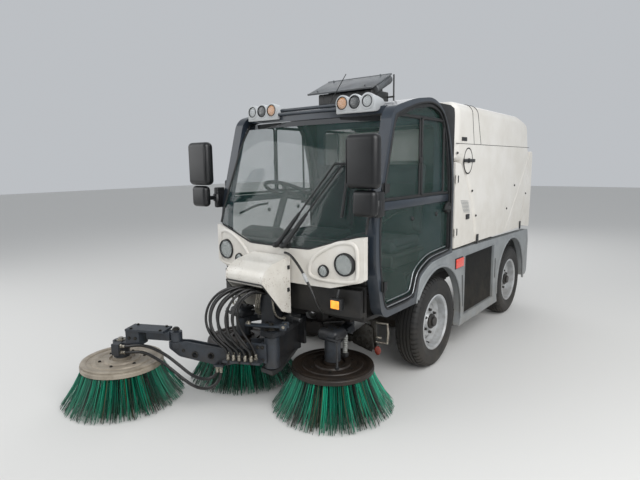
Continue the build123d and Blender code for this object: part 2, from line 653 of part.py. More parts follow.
# Hoses from the ports under the hood down to the bracket on the swivel: (port x, port z), the way
# round the left, and where on the bracket each one ends (along the arm, off to its left)
bundle_routes = [
    ((-130, 750), [(-160, -1330, 752), (-202, -1392, 712), (-222, -1438, 648), (-216, -1462, 572),
                   (-160, -1500, 498)], (262, 74)),
    ((-105, 766), [(-128, -1342, 772), (-168, -1408, 742), (-194, -1456, 686), (-190, -1488, 612),
                   (-154, -1500, 538), (-108, -1486, 474)], (226, 74)),
    ((-55, 750), [(-76, -1336, 760), (-112, -1398, 726), (-140, -1442, 664), (-138, -1466, 590),
                  (-104, -1468, 512)], (190, 74)),
    ((-25, 766), [(-40, -1346, 780), (-72, -1414, 762), (-102, -1466, 714), (-108, -1498, 646),
                  (-88, -1500, 570), (-44, -1474, 496)], (154, 74)),
    ((30, 750), [(12, -1332, 766), (-18, -1388, 730), (-38, -1426, 668), (-34, -1444, 596),
                 (0, -1432, 520)], (118, 74)),
    ((70, 766), [(54, -1338, 776), (32, -1398, 748), (16, -1434, 692), (18, -1448, 622),
                 (42, -1430, 542)], (82, 74)),
    ((-80, 750), [(-104, -1350, 792), (-146, -1430, 770), (-178, -1490, 708), (-180, -1526, 628),
                  (-150, -1536, 548), (-92, -1516, 476)], (250, 104)),
    ((-42, 784), [(-62, -1354, 796), (-96, -1434, 776), (-124, -1494, 716), (-128, -1532, 636),
                  (-102, -1540, 554), (-52, -1512, 480)], (214, 104)),
    ((-5, 750), [(-22, -1350, 794), (-50, -1428, 770), (-72, -1486, 710), (-74, -1522, 632),
                 (-50, -1530, 552), (-8, -1500, 478)], (178, 104)),
    ((45, 766), [(30, -1350, 796), (6, -1428, 772), (-12, -1484, 712), (-12, -1516, 634),
                 (14, -1518, 552), (46, -1484, 478)], (138, 104)),
    ((92, 750), [(80, -1348, 794), (54, -1424, 770), (36, -1476, 710), (38, -1504, 634),
                 (60, -1500, 552), (84, -1466, 478)], (100, 104)),
]
bundle = []
for (port_x, port_z), way, foot_place in bundle_routes:
    port = Vector(port_x, hose_port_y - 0.2, port_z)
    foot = Vector(*on_arm(*foot_place, hose_bracket_z + 0.2))
    points = [port, port + Vector(0, -62, 0), *way, foot + Vector(0, 0, 62), foot]
    bundle.append(hose(points, bundle_hose_radius))
keep("hose_bundle", *bundle)

# Hoses from the clamp on the inner arm to the third brush's motor, in a low loop before the arm.
# Places are along the arm: (s, y, z)
motor_routes = [
    [(318, 64, hose_clamp_z - 0.2), (318, 64, 240), (350, 78, 182), (416, 88, 150), (496, 92, 164),
     (576, 92, 214), (660, 90, 276), (752, 86, 330), (846, 80, 364), (936, 74, 352),
     (980, 70, 345), (port_face_s - 0.2, 70, 345)],
    [(344, 64, hose_clamp_z - 0.2), (344, 64, 256), (386, 66, 216), (450, 68, 206), (520, 68, 226),
     (596, 68, 282), (676, 70, 342), (764, 72, 386), (856, 74, 408), (936, 72, 394),
     (980, 70, 385), (port_face_s - 0.2, 70, 385)],
]
keep("motor_hoses", *[hose([on_arm(*point) for point in route], brush_hose_radius)
                      for route in motor_routes])
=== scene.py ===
import random
from math import atan2, cos, pi, radians, sin
import bmesh
import bpy
from mathutils import Matrix, Vector


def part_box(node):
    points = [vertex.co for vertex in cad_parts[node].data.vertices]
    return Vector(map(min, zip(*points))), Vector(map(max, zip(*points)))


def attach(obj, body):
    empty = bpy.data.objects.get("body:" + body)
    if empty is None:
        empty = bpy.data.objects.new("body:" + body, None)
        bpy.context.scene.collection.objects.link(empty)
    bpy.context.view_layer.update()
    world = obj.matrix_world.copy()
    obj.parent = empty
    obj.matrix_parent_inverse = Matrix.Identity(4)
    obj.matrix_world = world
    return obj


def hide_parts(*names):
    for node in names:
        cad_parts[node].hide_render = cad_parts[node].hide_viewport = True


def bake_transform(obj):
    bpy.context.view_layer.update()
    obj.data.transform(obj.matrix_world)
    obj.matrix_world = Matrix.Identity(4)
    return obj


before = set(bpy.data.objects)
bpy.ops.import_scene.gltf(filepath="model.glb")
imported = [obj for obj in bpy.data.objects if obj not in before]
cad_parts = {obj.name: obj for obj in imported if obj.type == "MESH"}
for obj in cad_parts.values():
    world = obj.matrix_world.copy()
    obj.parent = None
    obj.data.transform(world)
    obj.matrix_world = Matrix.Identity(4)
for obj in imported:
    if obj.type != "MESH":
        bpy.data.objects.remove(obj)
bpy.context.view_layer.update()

# The chassis: two box rails welded to cross members, with the front axle's beam bolted under them.
# Primed and painted dark, it is dull, dusty on top and browned by rust along the welds.


def colour(code):
    """An sRGB hex colour as the linear values that a shader takes."""
    parts = [int(code[i:i + 2], 16) / 255 for i in (0, 2, 4)]
    return (*[c / 12.92 if c <= 0.04045 else ((c + 0.055) / 1.055) ** 2.4 for c in parts], 1)


def feed(material, node, inputs):
    """Gives the sockets of a node their plain values and their links."""
    for socket, value in inputs.items():
        if isinstance(value, bpy.types.NodeSocket):
            material.node_tree.links.new(value, node.inputs[socket])
        else:
            node.inputs[socket].default_value = value


def add(material, kind, inputs=(), **settings):
    """One node in a material, with its settings, its values and its links."""
    node = material.node_tree.nodes.new("ShaderNode" + kind)
    for name, value in settings.items():
        setattr(node, name, value)
    feed(material, node, dict(inputs))
    return node


def blank_finish(name):
    """A new material with its shader, and the place on the object that its patterns read."""
    material = bpy.data.materials.new(name)
    material.use_nodes = True
    place = add(material, "TexCoord").outputs["Object"]
    return material, material.node_tree.nodes["Principled BSDF"], place


def surface(name, light, dark, patch, rough, grain, depth, metallic=0.0, coat=0.0, dust=None):
    """A finish in two shades of one colour, in patches of a given width, with a fine grain.
    Widths are in millimetres; dust is its colour, the height where it is thickest, the height
    where it ends and its share."""
    material, shader, place = blank_finish(name)
    blotch = add(material, "TexNoise", {"Vector": place, "Scale": 1000 / patch, "Detail": 5,
                                        "Roughness": 0.6})
    spread = add(material, "MapRange", {0: blotch.outputs[0], 1: 0.36, 2: 0.64})
    shade = add(material, "Mix", {0: spread.outputs[0], 6: colour(light), 7: colour(dark)},
                data_type="RGBA").outputs[2]
    if dust:
        tint, low, high, share = dust
        height = add(material, "SeparateXYZ", {0: place}).outputs[2]
        fade = add(material, "MapRange", {0: height, 1: high, 2: low, 3: 0, 4: share})
        cloud = add(material, "TexNoise", {"Vector": place, "Scale": 9, "Detail": 6, "Roughness": 0.7})
        cover = add(material, "MapRange", {0: cloud.outputs[0], 1: 0.3, 2: 0.6})
        both = add(material, "Math", {0: fade.outputs[0], 1: cover.outputs[0]}, operation="MULTIPLY")
        shade = add(material, "Mix", {0: both.outputs[0], 6: shade, 7: colour(tint)},
                    data_type="RGBA").outputs[2]
    fine = add(material, "TexNoise", {"Vector": place, "Scale": 1000 / grain, "Detail": 2}).outputs[0]
    sheen = add(material, "MapRange", {0: fine, 1: 0.3, 2: 0.7, 3: max(rough - 0.07, 0.02),
                                       4: rough + 0.07})
    bump = add(material, "Bump", {"Height": fine, "Strength": depth, "Distance": grain / 2000})
    feed(material, shader, {"Base Color": shade, "Roughness": sheen.outputs[0], "Normal": bump.outputs[0],
                            "Metallic": metallic, "Coat Weight": coat})
    return material


def dress(material, *nodes):
    """Gives a finish to pieces that come from the frame."""
    for node in nodes:
        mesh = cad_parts[node].data
        mesh.materials.clear()
        mesh.materials.append(material)


# Chassis paint is a thin black over steel: dull, with road dust up to hub height and rust tones.
chassis_paint = surface("chassis_paint_on_steel", "1d1e20", "2a2624", 90, 0.55, 4, 0.25,
                        dust=("5a5145", 0.1, 0.6, 0.55))
dress(chassis_paint, "chassis_frame", "front_axle", "rear_axle", "knuckle_left", "knuckle_right",
      "engine_bulkhead")
# Cast iron of the engine and the sheet steel of the duct are bare, oily and dark.
cast_iron = surface("oily_cast_iron", "3b3c3d", "28241f", 60, 0.45, 3, 0.4, metallic=0.6)
dress(cast_iron, "engine_block")
sheet_steel = surface("worn_sheet_steel", "5b5a57", "3c3834", 110, 0.5, 3, 0.2, metallic=0.7,
                      dust=("6b5f4f", 0.0, 0.5, 0.6))
dress(sheet_steel, "suction_mouth")

# The tyres: van tyres with four straight grooves and open shoulder lugs, moulded in black rubber.
# Rubber that has stood outside is matt, slightly brown with dust, and smooth on its side.
tyre_low, tyre_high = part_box("tyre_front_left")
wheel_radius = (tyre_high.z - tyre_low.z) / 2
tyre_half = (tyre_high.x - tyre_low.x) / 2
bead_radius = 0.2127
tread_width = 0.066
groove_depth = 0.008
lugs = 54
lug_height, lug_reach, lug_depth = 0.024, 0.047, 0.006
tyre_rubber = surface("moulded_tyre_rubber", "1b1b1b", "242220", 70, 0.62, 2.5, 0.3,
                      dust=("4d463c", 0.0, 0.42, 0.5))

# Half of the section from the middle of the tread to the bead: (distance from the middle, radius).
crown = wheel_radius - 0.001
half_section = [(0.008, crown), (0.010, crown - groove_depth), (0.017, crown - groove_depth),
                (0.019, crown), (0.036, crown - 0.0005), (0.038, crown - groove_depth),
                (0.045, crown - groove_depth), (0.047, crown - 0.001), (tread_width, crown - 0.004),
                (0.078, crown - 0.012), (0.088, crown - 0.028), (0.0925, crown - 0.045),
                (0.0955, 0.285), (tyre_half - 0.0008, 0.27), (tyre_half - 0.0008, 0.262),
                (0.0945, 0.258), (0.0935, 0.245), (0.0905, 0.240), (0.0895, 0.228),
                (0.086, 0.221), (0.083, bead_radius)]
section = [(r, x) for x, r in reversed(half_section)] + [(r, -x) for x, r in half_section]
section.append(section[0])


def ready():
    """Closes what is being edited and leaves nothing selected, as the next operator needs."""
    if bpy.context.object and bpy.context.object.mode == "EDIT":
        bpy.ops.object.mode_set(mode="OBJECT")
    bpy.ops.object.select_all(action="DESELECT")


def aimed(piece, middle, axis):
    """Turns a piece that was made upright about the origin to its place and direction."""
    turn = Vector((0, 0, 1)).rotation_difference(Vector(axis)).to_matrix().to_4x4()
    piece.data.transform(Matrix.Translation(Vector(middle)) @ turn)
    return piece


def faced_outwards(piece):
    """Points all faces of the piece being edited outwards, and closes it."""
    bpy.ops.mesh.select_all(action="SELECT")
    bpy.ops.mesh.normals_make_consistent(inside=False)
    bpy.ops.object.mode_set(mode="OBJECT")
    return piece


def turned(profile, middle=(0, 0, 0), axis=(0, 0, 1), sides=32, hollow=False):
    """A round piece: a disc or ring drawn out step by step through (radius, height) pairs."""
    ready()
    radius, height = profile[0]
    bpy.ops.mesh.primitive_circle_add(vertices=sides, radius=radius,
                                      fill_type="NOTHING" if hollow else "NGON")
    piece = bpy.context.object
    bpy.ops.object.mode_set(mode="EDIT")
    bpy.ops.mesh.select_all(action="SELECT")
    bpy.ops.transform.translate(value=(0, 0, height))
    draw_out = bpy.ops.mesh.extrude_edges_move if hollow else bpy.ops.mesh.extrude_region_move
    for (r0, h0), (r1, h1) in zip(profile, profile[1:]):
        draw_out(TRANSFORM_OT_translate={"value": (0, 0, h1 - h0)})
        bpy.ops.transform.resize(value=(r1 / r0, r1 / r0, 1), center_override=(0, 0, 0))
    if hollow:
        bpy.ops.mesh.select_all(action="SELECT")
        bpy.ops.mesh.remove_doubles(threshold=0.00002)
    return aimed(faced_outwards(piece), middle, axis)


def opened_at(piece, wanted):
    """Opens a piece for editing, with only the faces selected that are wanted."""
    bpy.context.view_layer.objects.active = piece
    bpy.ops.object.mode_set(mode="EDIT")
    bpy.ops.mesh.select_mode(type="FACE")
    bpy.ops.mesh.select_all(action="DESELECT")
    mesh = bmesh.from_edit_mesh(piece.data)
    for face in mesh.faces:
        face.select_set(wanted(face))
    bmesh.update_edit_mesh(piece.data)


def between_lugs(face):
    """Whether a face lies in a slot of the tread, a half step further round on the outer side."""
    middle = face.calc_center_median()
    reach = Vector((middle.x, middle.y)).length
    share = (atan2(middle.y, middle.x) + pi) / (2 * pi)
    step = int(share * lugs * 3 + (1.5 if middle.z > 0 else 0)) % 3
    return step == 0 and reach > crown - lug_height and abs(middle.z) > lug_reach


def made_of(material, *pieces):
    """Gives new pieces their finish, and hands back the first."""
    for piece in pieces:
        piece.data.materials.clear()
        piece.data.materials.append(material)
    return pieces[0]


tyre = made_of(tyre_rubber, turned(section, sides=lugs * 3, hollow=True))
opened_at(tyre, between_lugs)
bpy.ops.mesh.extrude_region_move()
slot_floor = 1 - lug_depth / crown
bpy.ops.transform.resize(value=(slot_floor, slot_floor, 1), center_override=(0, 0, 0))
bpy.ops.object.mode_set(mode="OBJECT")

# The rims: pressed steel dishes with round hand holes, sprayed silver and dulled by brake dust.
# Each is held by six dark nuts round a black cap over the end of its hub.
rim_paint = surface("silver_wheel_paint", "c3c6c8", "a5a6a6", 80, 0.38, 3, 0.12, metallic=0.35,
                    dust=("7c6d59", 0.05, 0.62, 0.35))
hub_enamel = surface("black_hub_enamel", "17181a", "232220", 40, 0.42, 3, 0.2,
                     dust=("5a4f42", 0.1, 0.6, 0.3))
nut_circle = 0.088


def copied(piece, matrix=Matrix()):
    """A second piece of the same shape, moved by a matrix."""
    twin = piece.copy()
    twin.data = piece.data.copy()
    bpy.context.scene.collection.objects.link(twin)
    twin.data.transform(matrix)
    if matrix.determinant() < 0:
        twin.data.flip_normals()
    return twin


def pick(pieces):
    """Selects some pieces and no others, with the first one active."""
    ready()
    for piece in pieces:
        piece.select_set(True)
    bpy.context.view_layer.objects.active = pieces[0]


def joined(pieces):
    """Several parts of one piece as one mesh."""
    pick(pieces)
    bpy.ops.object.join()
    return bpy.context.object


def done(piece, name, body, angle=35):
    """Names a finished piece, smooths its faces and fixes it to its body."""
    piece.name = piece.data.name = name
    pick([piece])
    bpy.ops.object.shade_smooth_by_angle(angle=radians(angle))
    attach(piece, body)


cap = turned([(0.058, 0.03), (0.058, 0.052), (0.05, 0.06), (0.038, 0.063), (0.038, 0.074), (0.034, 0.078),
              (0.012, 0.079)])
nut = turned([(0.0125, 0.024), (0.0125, 0.028), (0.0105, 0.029), (0.0105, 0.046), (0.0085, 0.048)], sides=6)
studs = [copied(nut, Matrix.Translation((nut_circle * cos(k * pi / 3), nut_circle * sin(k * pi / 3), 0)))
         for k in range(6)]
bpy.data.objects.remove(nut)
valve = turned([(0.004, 0), (0.004, 0.016), (0.0055, 0.017), (0.0055, 0.03), (0.003, 0.031)],
               (0.168, 0, 0.004), (0.25, 0, 1), sides=10)
hub = made_of(hub_enamel, joined([cap, *studs, valve]))
for end in ("front", "rear"):
    for side, way in (("left", 1), ("right", -1)):
        low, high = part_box(f"tyre_{end}_{side}")
        place = Matrix.Translation((low + high) / 2) @ Matrix.Rotation(way * pi / 2, 4, "Y")
        twin = copied(tyre, place)
        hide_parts(f"tyre_{end}_{side}")
        done(twin, f"tyre_{end}_{side}_tread", f"wheel_{end}_{side}", 28)
        done(copied(hub, place), f"hub_cap_{end}_{side}", f"wheel_{end}_{side}")
        dress(rim_paint, f"rim_{end}_{side}")
bpy.data.objects.remove(tyre)
bpy.data.objects.remove(hub)

# The cab's shell: a bent steel tub and rear wall between two arched side frames, under a curved roof.
# The frames are painted slate blue, satin and a little chalky, and the tub is dark and dusty.
slate_paint = surface("slate_satin_paint", "27303a", "212831", 160, 0.34, 3, 0.1, coat=0.25,
                      dust=("77756f", 0.5, 1.1, 0.16))
dress(slate_paint, "cab_sides", "roof_panel")
tub_paint = surface("dark_textured_paint", "131416", "0e0f10", 100, 0.5, 2.5, 0.3,
                    dust=("4d463c", 0.55, 0.95, 0.25))
dress(tub_paint, "cab_tub")
lining = surface("slate_blue_cab_lining", "46525d", "3b4650", 90, 0.6, 2, 0.25,
                 dust=("77756f", 0.8, 1.3, 0.25))
dress(lining, "cab_rear_wall")

# The windows: green-tinted glass, laminated for the screen, which has a black printed band at its top.
# It hides about a sixth of what is behind it, and mirrors the sky where it is seen flat.


def tinted(name, tint, cover, clear_top=None):
    """Clear glass of a tint that hides a share of what is behind it, black above its clear part."""
    material, shader, place = blank_finish(name)
    smear = add(material, "TexNoise", {"Vector": place, "Scale": 5, "Detail": 6,
                                       "Roughness": 0.65}).outputs[0]
    film = add(material, "MapRange", {0: smear, 1: 0.35, 2: 0.7, 3: 0.02, 4: 0.09})
    show = add(material, "MapRange", {0: smear, 1: 0.4, 2: 0.7, 3: cover, 4: cover + 0.04}).outputs[0]
    dusty = add(material, "MapRange", {0: smear, 1: 0.45, 2: 0.75, 3: 0.0, 4: 0.2})
    shade = add(material, "Mix", {0: dusty.outputs[0], 6: colour(tint), 7: colour("6f7d77")},
                data_type="RGBA").outputs[2]
    if clear_top:
        height = add(material, "SeparateXYZ", {0: place}).outputs[2]
        dark = add(material, "Math", {0: height, 1: clear_top}, operation="GREATER_THAN").outputs[0]
        shade = add(material, "Mix", {0: dark, 6: shade, 7: colour("0f1113")}, data_type="RGBA").outputs[2]
        show = add(material, "Mix", {0: dark, 2: show, 3: 1.0}).outputs[0]
    feed(material, shader, {"Base Color": shade, "Alpha": show, "Roughness": film.outputs[0], "IOR": 2.2})
    return material


printed_band = 0.035
band_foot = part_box("cab_glass")[1].z - printed_band
dress(tinted("laminated_screen_glass", "1d4a40", 0.12, band_foot), "cab_glass")
dress(tinted("tempered_door_glass", "1d4a40", 0.16), "door_glass_left", "door_glass_right")

# The rubber that holds the screen, in a line along the panel and up both posts. It is extruded:
# matt, almost black, and grey with age.
window_rubber = surface("extruded_window_rubber", "18191a", "232425", 40, 0.6, 2, 0.2)
right_tyre_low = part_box("tyre_front_right")[0]
axle_middle = Vector(((tyre_high.x + right_tyre_low.x) / 2, (tyre_low.y + tyre_high.y) / 2, 0))
bow_middle = 2.340


def at(x, y, z):
    """A point measured from the floor under the middle of the front axle."""
    return axle_middle + Vector((x, y, z))


def screen_y(x, z):
    """How far forward the screen's outside is at a place across and up it."""
    edge = ((0.960, -1.050), (1.090, -1.042), (1.400, -0.948), (1.700, -0.835), (1.842, -0.735))
    for (z0, y0), (z1, y1) in zip(edge, edge[1:]):
        if z <= z1:
            break
    radius = bow_middle - (y0 + (y1 - y0) * (z - z0) / (z1 - z0))
    return bow_middle - (radius ** 2 - x ** 2) ** 0.5


def in_scene(name, data):
    """A new object for a mesh, a line, a lamp or a camera."""
    piece = bpy.data.objects.new(name, data)
    bpy.context.scene.collection.objects.link(piece)
    return piece


def line_through(points, closed=False, order=3):
    """A smooth line through given points, or a straight one where the order is two."""
    line = bpy.data.curves.new("line", "CURVE")
    line.dimensions = "3D"
    spline = line.splines.new("NURBS" if order > 2 else "POLY")
    spline.points.add(len(points) - 1)
    for knot, point in zip(spline.points, points):
        knot.co = (*point, 1)
    spline.use_cyclic_u = closed
    if order > 2:
        spline.order_u = order
        spline.use_endpoint_u = not closed
        spline.resolution_u = 6
    return in_scene("line", line)


def pipe(points, radius, closed=False, order=3, sides=3):
    """A bent round bar: a line through listed points, given its thickness and made a mesh."""
    piece = line_through(points, closed, order)
    piece.data.bevel_depth = radius
    piece.data.bevel_resolution = sides
    piece.data.use_fill_caps = not closed
    pick([piece])
    bpy.ops.object.convert(target="MESH")
    return bpy.context.object


def about(place, change):
    """A turn, mirroring or stretch made about a place."""
    return Matrix.Translation(place) @ change @ Matrix.Translation(-place)


other_side = about(axle_middle, Matrix.Scale(-1, 4, (1, 0, 0)))
post_rubber = [(0.634, 1.130), (0.634, 1.190), (0.634, 1.250), (0.620, 1.340), (0.599, 1.480), (0.595, 1.600),
               (0.595, 1.730), (0.595, 1.836)]
seal = pipe([at(x, screen_y(x, z) + 0.001, z) for x, z in post_rubber], 0.008)
foot_half = [(0.6, 1.116), (0.52, 1.101), (0.43, 1.073), (0.34, 1.043), (0.25, 1.018), (0.1, 1.018)]
foot_line = [(-x, z) for x, z in foot_half] + foot_half[::-1]
foot_seal = pipe([at(x, screen_y(x, z) - 0.001, z) for x, z in foot_line], 0.007)
screen_seal = joined([seal, copied(seal, other_side), foot_seal])
done(made_of(window_rubber, screen_seal), "screen_seal", "root")

# The front panel: glass fibre with a white gelcoat, which is slightly warm, dulled by the weather,
# and faintly grimed in its hollows and along its lower edge.
white_gelcoat = surface("white_gelcoat", "dedbd5", "d5d1c9", 260, 0.40, 5, 0.05, coat=0.12,
                        dust=("a89e8d", 0.8, 1.25, 0.28))
dress(white_gelcoat, "front_panel")
panel_radius = 3.402


def panel_y(x):
    """How far forward the bowed front panel is at a place across it."""
    return bow_middle - (panel_radius ** 2 - x ** 2) ** 0.5


# Moulded into the panel, a raised lip runs round each pair of lamps.
lip_line = [(0.300, 0.842), (0.262, 0.868), (0.268, 0.930), (0.318, 0.990), (0.400, 1.044), (0.486, 1.080),
            (0.566, 1.082), (0.598, 1.050), (0.600, 0.960), (0.600, 0.872), (0.580, 0.842), (0.440, 0.836)]
lip = made_of(white_gelcoat, pipe([at(x, panel_y(x) + 0.003, z) for x, z in lip_line], 0.014, closed=True))
done(joined([lip, copied(lip, other_side)]), "lamp_lips", "root", 60)

# The front lamps: a black bezel pressed into the panel, a bright bowl with its bulb, and a clear lens.
# The bowls are aluminium vapour on plastic, and the lenses are clear with a faint upright ribbing.
bright_bowl = surface("aluminised_lamp_bowl", "c6c9c8", "a6aaaa", 30, 0.14, 6, 0.1, metallic=0.95)
lamp_black = surface("moulded_lamp_housing", "1a1b1d", "131415", 40, 0.4, 1.5, 0.2)


def lens_material(name, tint, cover, rib):
    """A moulded lens of a tint, whose ribs are a fine upright wave across it, in millimetres, with a painted
    highlight along each rib's crest.
    """
    material, shader, place = blank_finish(name)
    wave = add(material, "TexWave", {"Vector": place, "Scale": 1000 / rib / 6.28, "Distortion": 0.4,
                                     "Detail": 1}).outputs[0]
    spot = add(material, "TexNoise", {"Vector": place, "Scale": 60, "Detail": 3}).outputs[0]
    show = add(material, "MapRange", {0: spot, 1: 0.35, 2: 0.65, 3: cover, 4: cover + 0.06})
    # Painted highlight: the crest of each rib is mixed toward pale grey, a glint painted into the lens
    # colour.
    rib_painted_glint = add(material, "MapRange", {0: wave, 3: 0.0, 4: 0.10}).outputs[0]
    shade = add(material, "Mix", {0: rib_painted_glint, 6: colour(tint), 7: colour("c4cacb")}, data_type="RGBA")
    bump = add(material, "Bump", {"Height": wave, "Strength": 0.5, "Distance": 0.001})
    feed(material, shader, {"Base Color": shade.outputs[2], "Alpha": show.outputs[0], "Roughness": 0.08,
                            "Normal": bump.outputs[0], "IOR": 1.9})
    return material


clear_lens = lens_material("clear_ribbed_lens", "a9afad", 0.18, 5)
amber_lens = lens_material("amber_moulded_lens", "d4420c", 0.92, 4)
red_lens = lens_material("red_moulded_lens", "a3140f", 0.92, 4)


def lamp(middle, radius, depth, lens, axis=(0, -1, 0), sides=32):
    """A round lamp: its bezel, its bowl with a bulb, and its domed lens, lens outwards."""
    bezel = turned([(radius * 0.86, -depth), (radius, -depth), (radius, 0.004), (radius * 0.96, 0.008),
                    (radius * 0.90, 0.008), (radius * 0.87, 0.003), (radius * 0.86, -0.004),
                    (radius * 0.86, -depth)], middle, axis, sides, hollow=True)
    bowl = turned([(radius * 0.86, -0.001), (radius * 0.80, -depth * 0.35),
                   (radius * 0.62, -depth * 0.65), (radius * 0.3, -depth * 0.9),
                   (radius * 0.12, -depth * 0.92), (radius * 0.12, -depth * 0.45),
                   (radius * 0.06, -depth * 0.38)], middle, axis, sides)
    glass = turned([(radius * 0.87, 0.0), (radius * 0.87, 0.003), (radius * 0.74, 0.0065),
                    (radius * 0.5, 0.009), (radius * 0.2, 0.0105), (0.0005, 0.011)], middle, axis, sides)
    return joined([made_of(lamp_black, bezel), made_of(bright_bowl, bowl), made_of(lens, glass)])


for side, way in (("left", 1), ("right", -1)):
    big = lamp(at(way * 0.519, -1.034, 0.948), 0.070, 0.030, clear_lens)
    small = lamp(at(way * 0.372, -1.046, 0.895), 0.038, 0.034, clear_lens, sides=24)
    done(big, f"head_lamp_{side}", "root")
    done(small, f"side_lamp_{side}", "root")

# The work lamp under the panel: a square black housing on a stalk, with an amber lens that is lit
# by the bulb behind it, brighter toward its middle.


def rounded(piece, width, segments=2, angle=30):
    """Breaks the sharp edges of a piece."""
    bevel = piece.modifiers.new("edge", "BEVEL")
    bevel.width = width
    bevel.segments = segments
    bevel.limit_method = "ANGLE"
    bevel.angle_limit = radians(angle)
    bpy.context.view_layer.objects.active = piece
    bpy.ops.object.modifier_apply(modifier="edge")
    return piece


def block(low, high, edge=0.0, segments=2):
    """A block between two corners, with its edges broken."""
    ready()
    low, high = Vector(low), Vector(high)
    bpy.ops.mesh.primitive_cube_add(size=1, location=(low + high) / 2, scale=high - low)
    bpy.ops.object.transform_apply(location=True, rotation=True, scale=True)
    return rounded(bpy.context.object, edge, segments) if edge else bpy.context.object


housing = block(at(0.442, -1.078, 0.668), at(0.523, -1.035, 0.742), 0.008, 3)
work_lens = block(at(0.450, -1.0795, 0.680), at(0.515, -1.070, 0.732), 0.004, 2)
stalk = pipe([at(0.482, -1.05, 0.741), at(0.482, -1.045, 0.765), at(0.482, -1.030, 0.790)], 0.008)
lit_amber, lit_shader, lit_place = blank_finish("lit_amber_lens")
lit_spot = add(lit_amber, "TexNoise", {"Vector": lit_place, "Scale": 26, "Detail": 1}).outputs[0]
glow = add(lit_amber, "Mix", {0: lit_spot, 6: colour("ffb84a"), 7: colour("e8741a")},
           data_type="RGBA").outputs[2]
feed(lit_amber, lit_shader, {"Base Color": glow, "Emission Color": glow, "Emission Strength": 0.8,
                             "Roughness": 0.2})
work_lamp = joined([made_of(lamp_black, housing, stalk), made_of(lit_amber, work_lens), stalk])
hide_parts("front_lamps")
done(work_lamp, "work_lamp", "root")

# Inside the cab: a moulded dashboard with a hooded instrument box, and a two-spoke steering wheel.
# The plastics are black-grey with a leather-like grain, dusty on top.
cab_plastic = surface("grained_cab_plastic", "2b2d2f", "232527", 60, 0.55, 1.8, 0.35,
                      dust=("6c675e", 0.8, 1.3, 0.2))
dress(cab_plastic, "dashboard", "steering_wheel")


def plate(corners, out, edge=0.0):
    """A flat plate: a disc with as many corners, each moved to its place, drawn out to its thickness."""
    ready()
    bpy.ops.mesh.primitive_circle_add(vertices=len(corners), fill_type="NGON")
    piece = bpy.context.object
    for vertex, corner in zip(piece.data.vertices, corners):
        vertex.co = corner
    bpy.ops.object.mode_set(mode="EDIT")
    bpy.ops.mesh.select_all(action="SELECT")
    bpy.ops.mesh.extrude_region_move(TRANSFORM_OT_translate={"value": out})
    faced_outwards(piece)
    return rounded(piece, edge) if edge else piece


hood_box = plate([at(-0.50, -0.90, 1.03), at(-0.50, -0.76, 1.02), at(-0.50, -0.74, 1.075),
                  at(-0.50, -0.80, 1.105), at(-0.50, -0.90, 1.075)], (0.30, 0, 0), 0.012)
console = block(at(-0.05, -0.86, 1.02), at(0.28, -0.76, 1.05), 0.012, 3)
vents = [turned([(0.034, 0), (0.034, 0.012), (0.028, 0.014), (0.026, 0.006), (0.006, 0.006)],
                at(x, -0.80, 1.035), (0, 0.3, 1), 20) for x in (0.38, 0.50)]
done(made_of(cab_plastic, joined([hood_box, console, *vents])), "dashboard_boxes", "root")

# The roof lamps: two rounded grey-white pods, each with three lamps in short barrels, joined by two
# bars across the head of the screen. The shells are moulded and chalky, with a dust line below.
pod_shell_paint = surface("chalky_grey_moulding", "bcbfc1", "aaadaf", 120, 0.42, 3, 0.15,
                          dust=("8f897d", 1.8, 1.95, 0.4))
dark_lens = lens_material("smoked_lens", "1b1d1e", 0.74, 4)
lit_lens = lens_material("amber_bulb_lens", "e09a52", 0.45, 4)
pods = []
lamp_step, pod_middle = 0.095, 0.404
for way in (-1, 1):
    side = [(-0.744, 1.862), (-0.744, 1.958), (-0.700, 1.962), (-0.640, 1.950), (-0.604, 1.926),
            (-0.640, 1.898), (-0.700, 1.868)]
    parts = [plate([at(way * pod_middle - 0.146, y, z) for y, z in side], (0.292, 0, 0), 0.009)]
    lenses = []
    for place, radius, lens in ((-1, 0.042, lit_lens), (0, 0.0425, dark_lens), (1, 0.038, clear_lens)):
        face = at(way * (pod_middle + place * lamp_step), -0.7465, 1.930)
        barrel = [(0.018, -0.130), (0.034, -0.105), (0.045, -0.065), (0.051, -0.015), (0.051, -0.002),
                  (0.049, 0), (radius, 0.001), (radius, -0.02)]
        parts.append(turned(barrel, face, (0, -1, 0.02), 28))
        lenses.append(lamp(face + Vector((0, 0.004, 0)), radius, 0.03, lens, axis=(0, -1, 0.02), sides=24))
    made_of(pod_shell_paint, *parts)
    pods += parts + lenses
for y, z in ((-0.722, 1.898), (-0.694, 1.927)):
    bar = pipe([at(-0.27, y, z), at(0, y, z), at(0.27, y, z)], 0.012, order=2)
    pods.append(made_of(slate_paint, bar))
roof_lamps = joined(pods)
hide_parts("roof_lamp_pods")
done(roof_lamps, "roof_lamps", "root")

# The unit on the roof: a black moulded box under a sloping grey plate, with a ribbed grey drum
# below the plate's left edge, a thin post beside it and a whip aerial at the front of the roof.
roof_black = surface("weathered_black_moulding", "1c1d1e", "26282a", 80, 0.5, 2, 0.3,
                     dust=("5c5a56", 1.98, 2.2, 0.25))
grey_sheet = surface("dull_grey_sheet", "6e7276", "5d6064", 130, 0.5, 2.5, 0.15, metallic=0.25,
                     dust=("8d8b85", 2.0, 2.3, 0.3))
case = block(at(-0.285, -0.230, 1.998), at(0.208, 0.020, 2.086), 0.012, 3)
upper = block(at(-0.240, -0.160, 2.080), at(0.180, -0.020, 2.138), 0.008, 2)
ribs = [block(at(x, -0.232, 2.005), at(x + 0.012, -0.226, 2.080), 0.002, 1)
        for x in (-0.24, -0.16, -0.08, 0.0, 0.08, 0.16)]
slope = Matrix.Translation(at(-0.060, -0.130, 2.150)) @ Matrix.Rotation(radians(24.5), 4, "X")
top_plate = block((-0.298, -0.158, -0.0055), (0.298, 0.158, 0.0055), 0.003, 2)
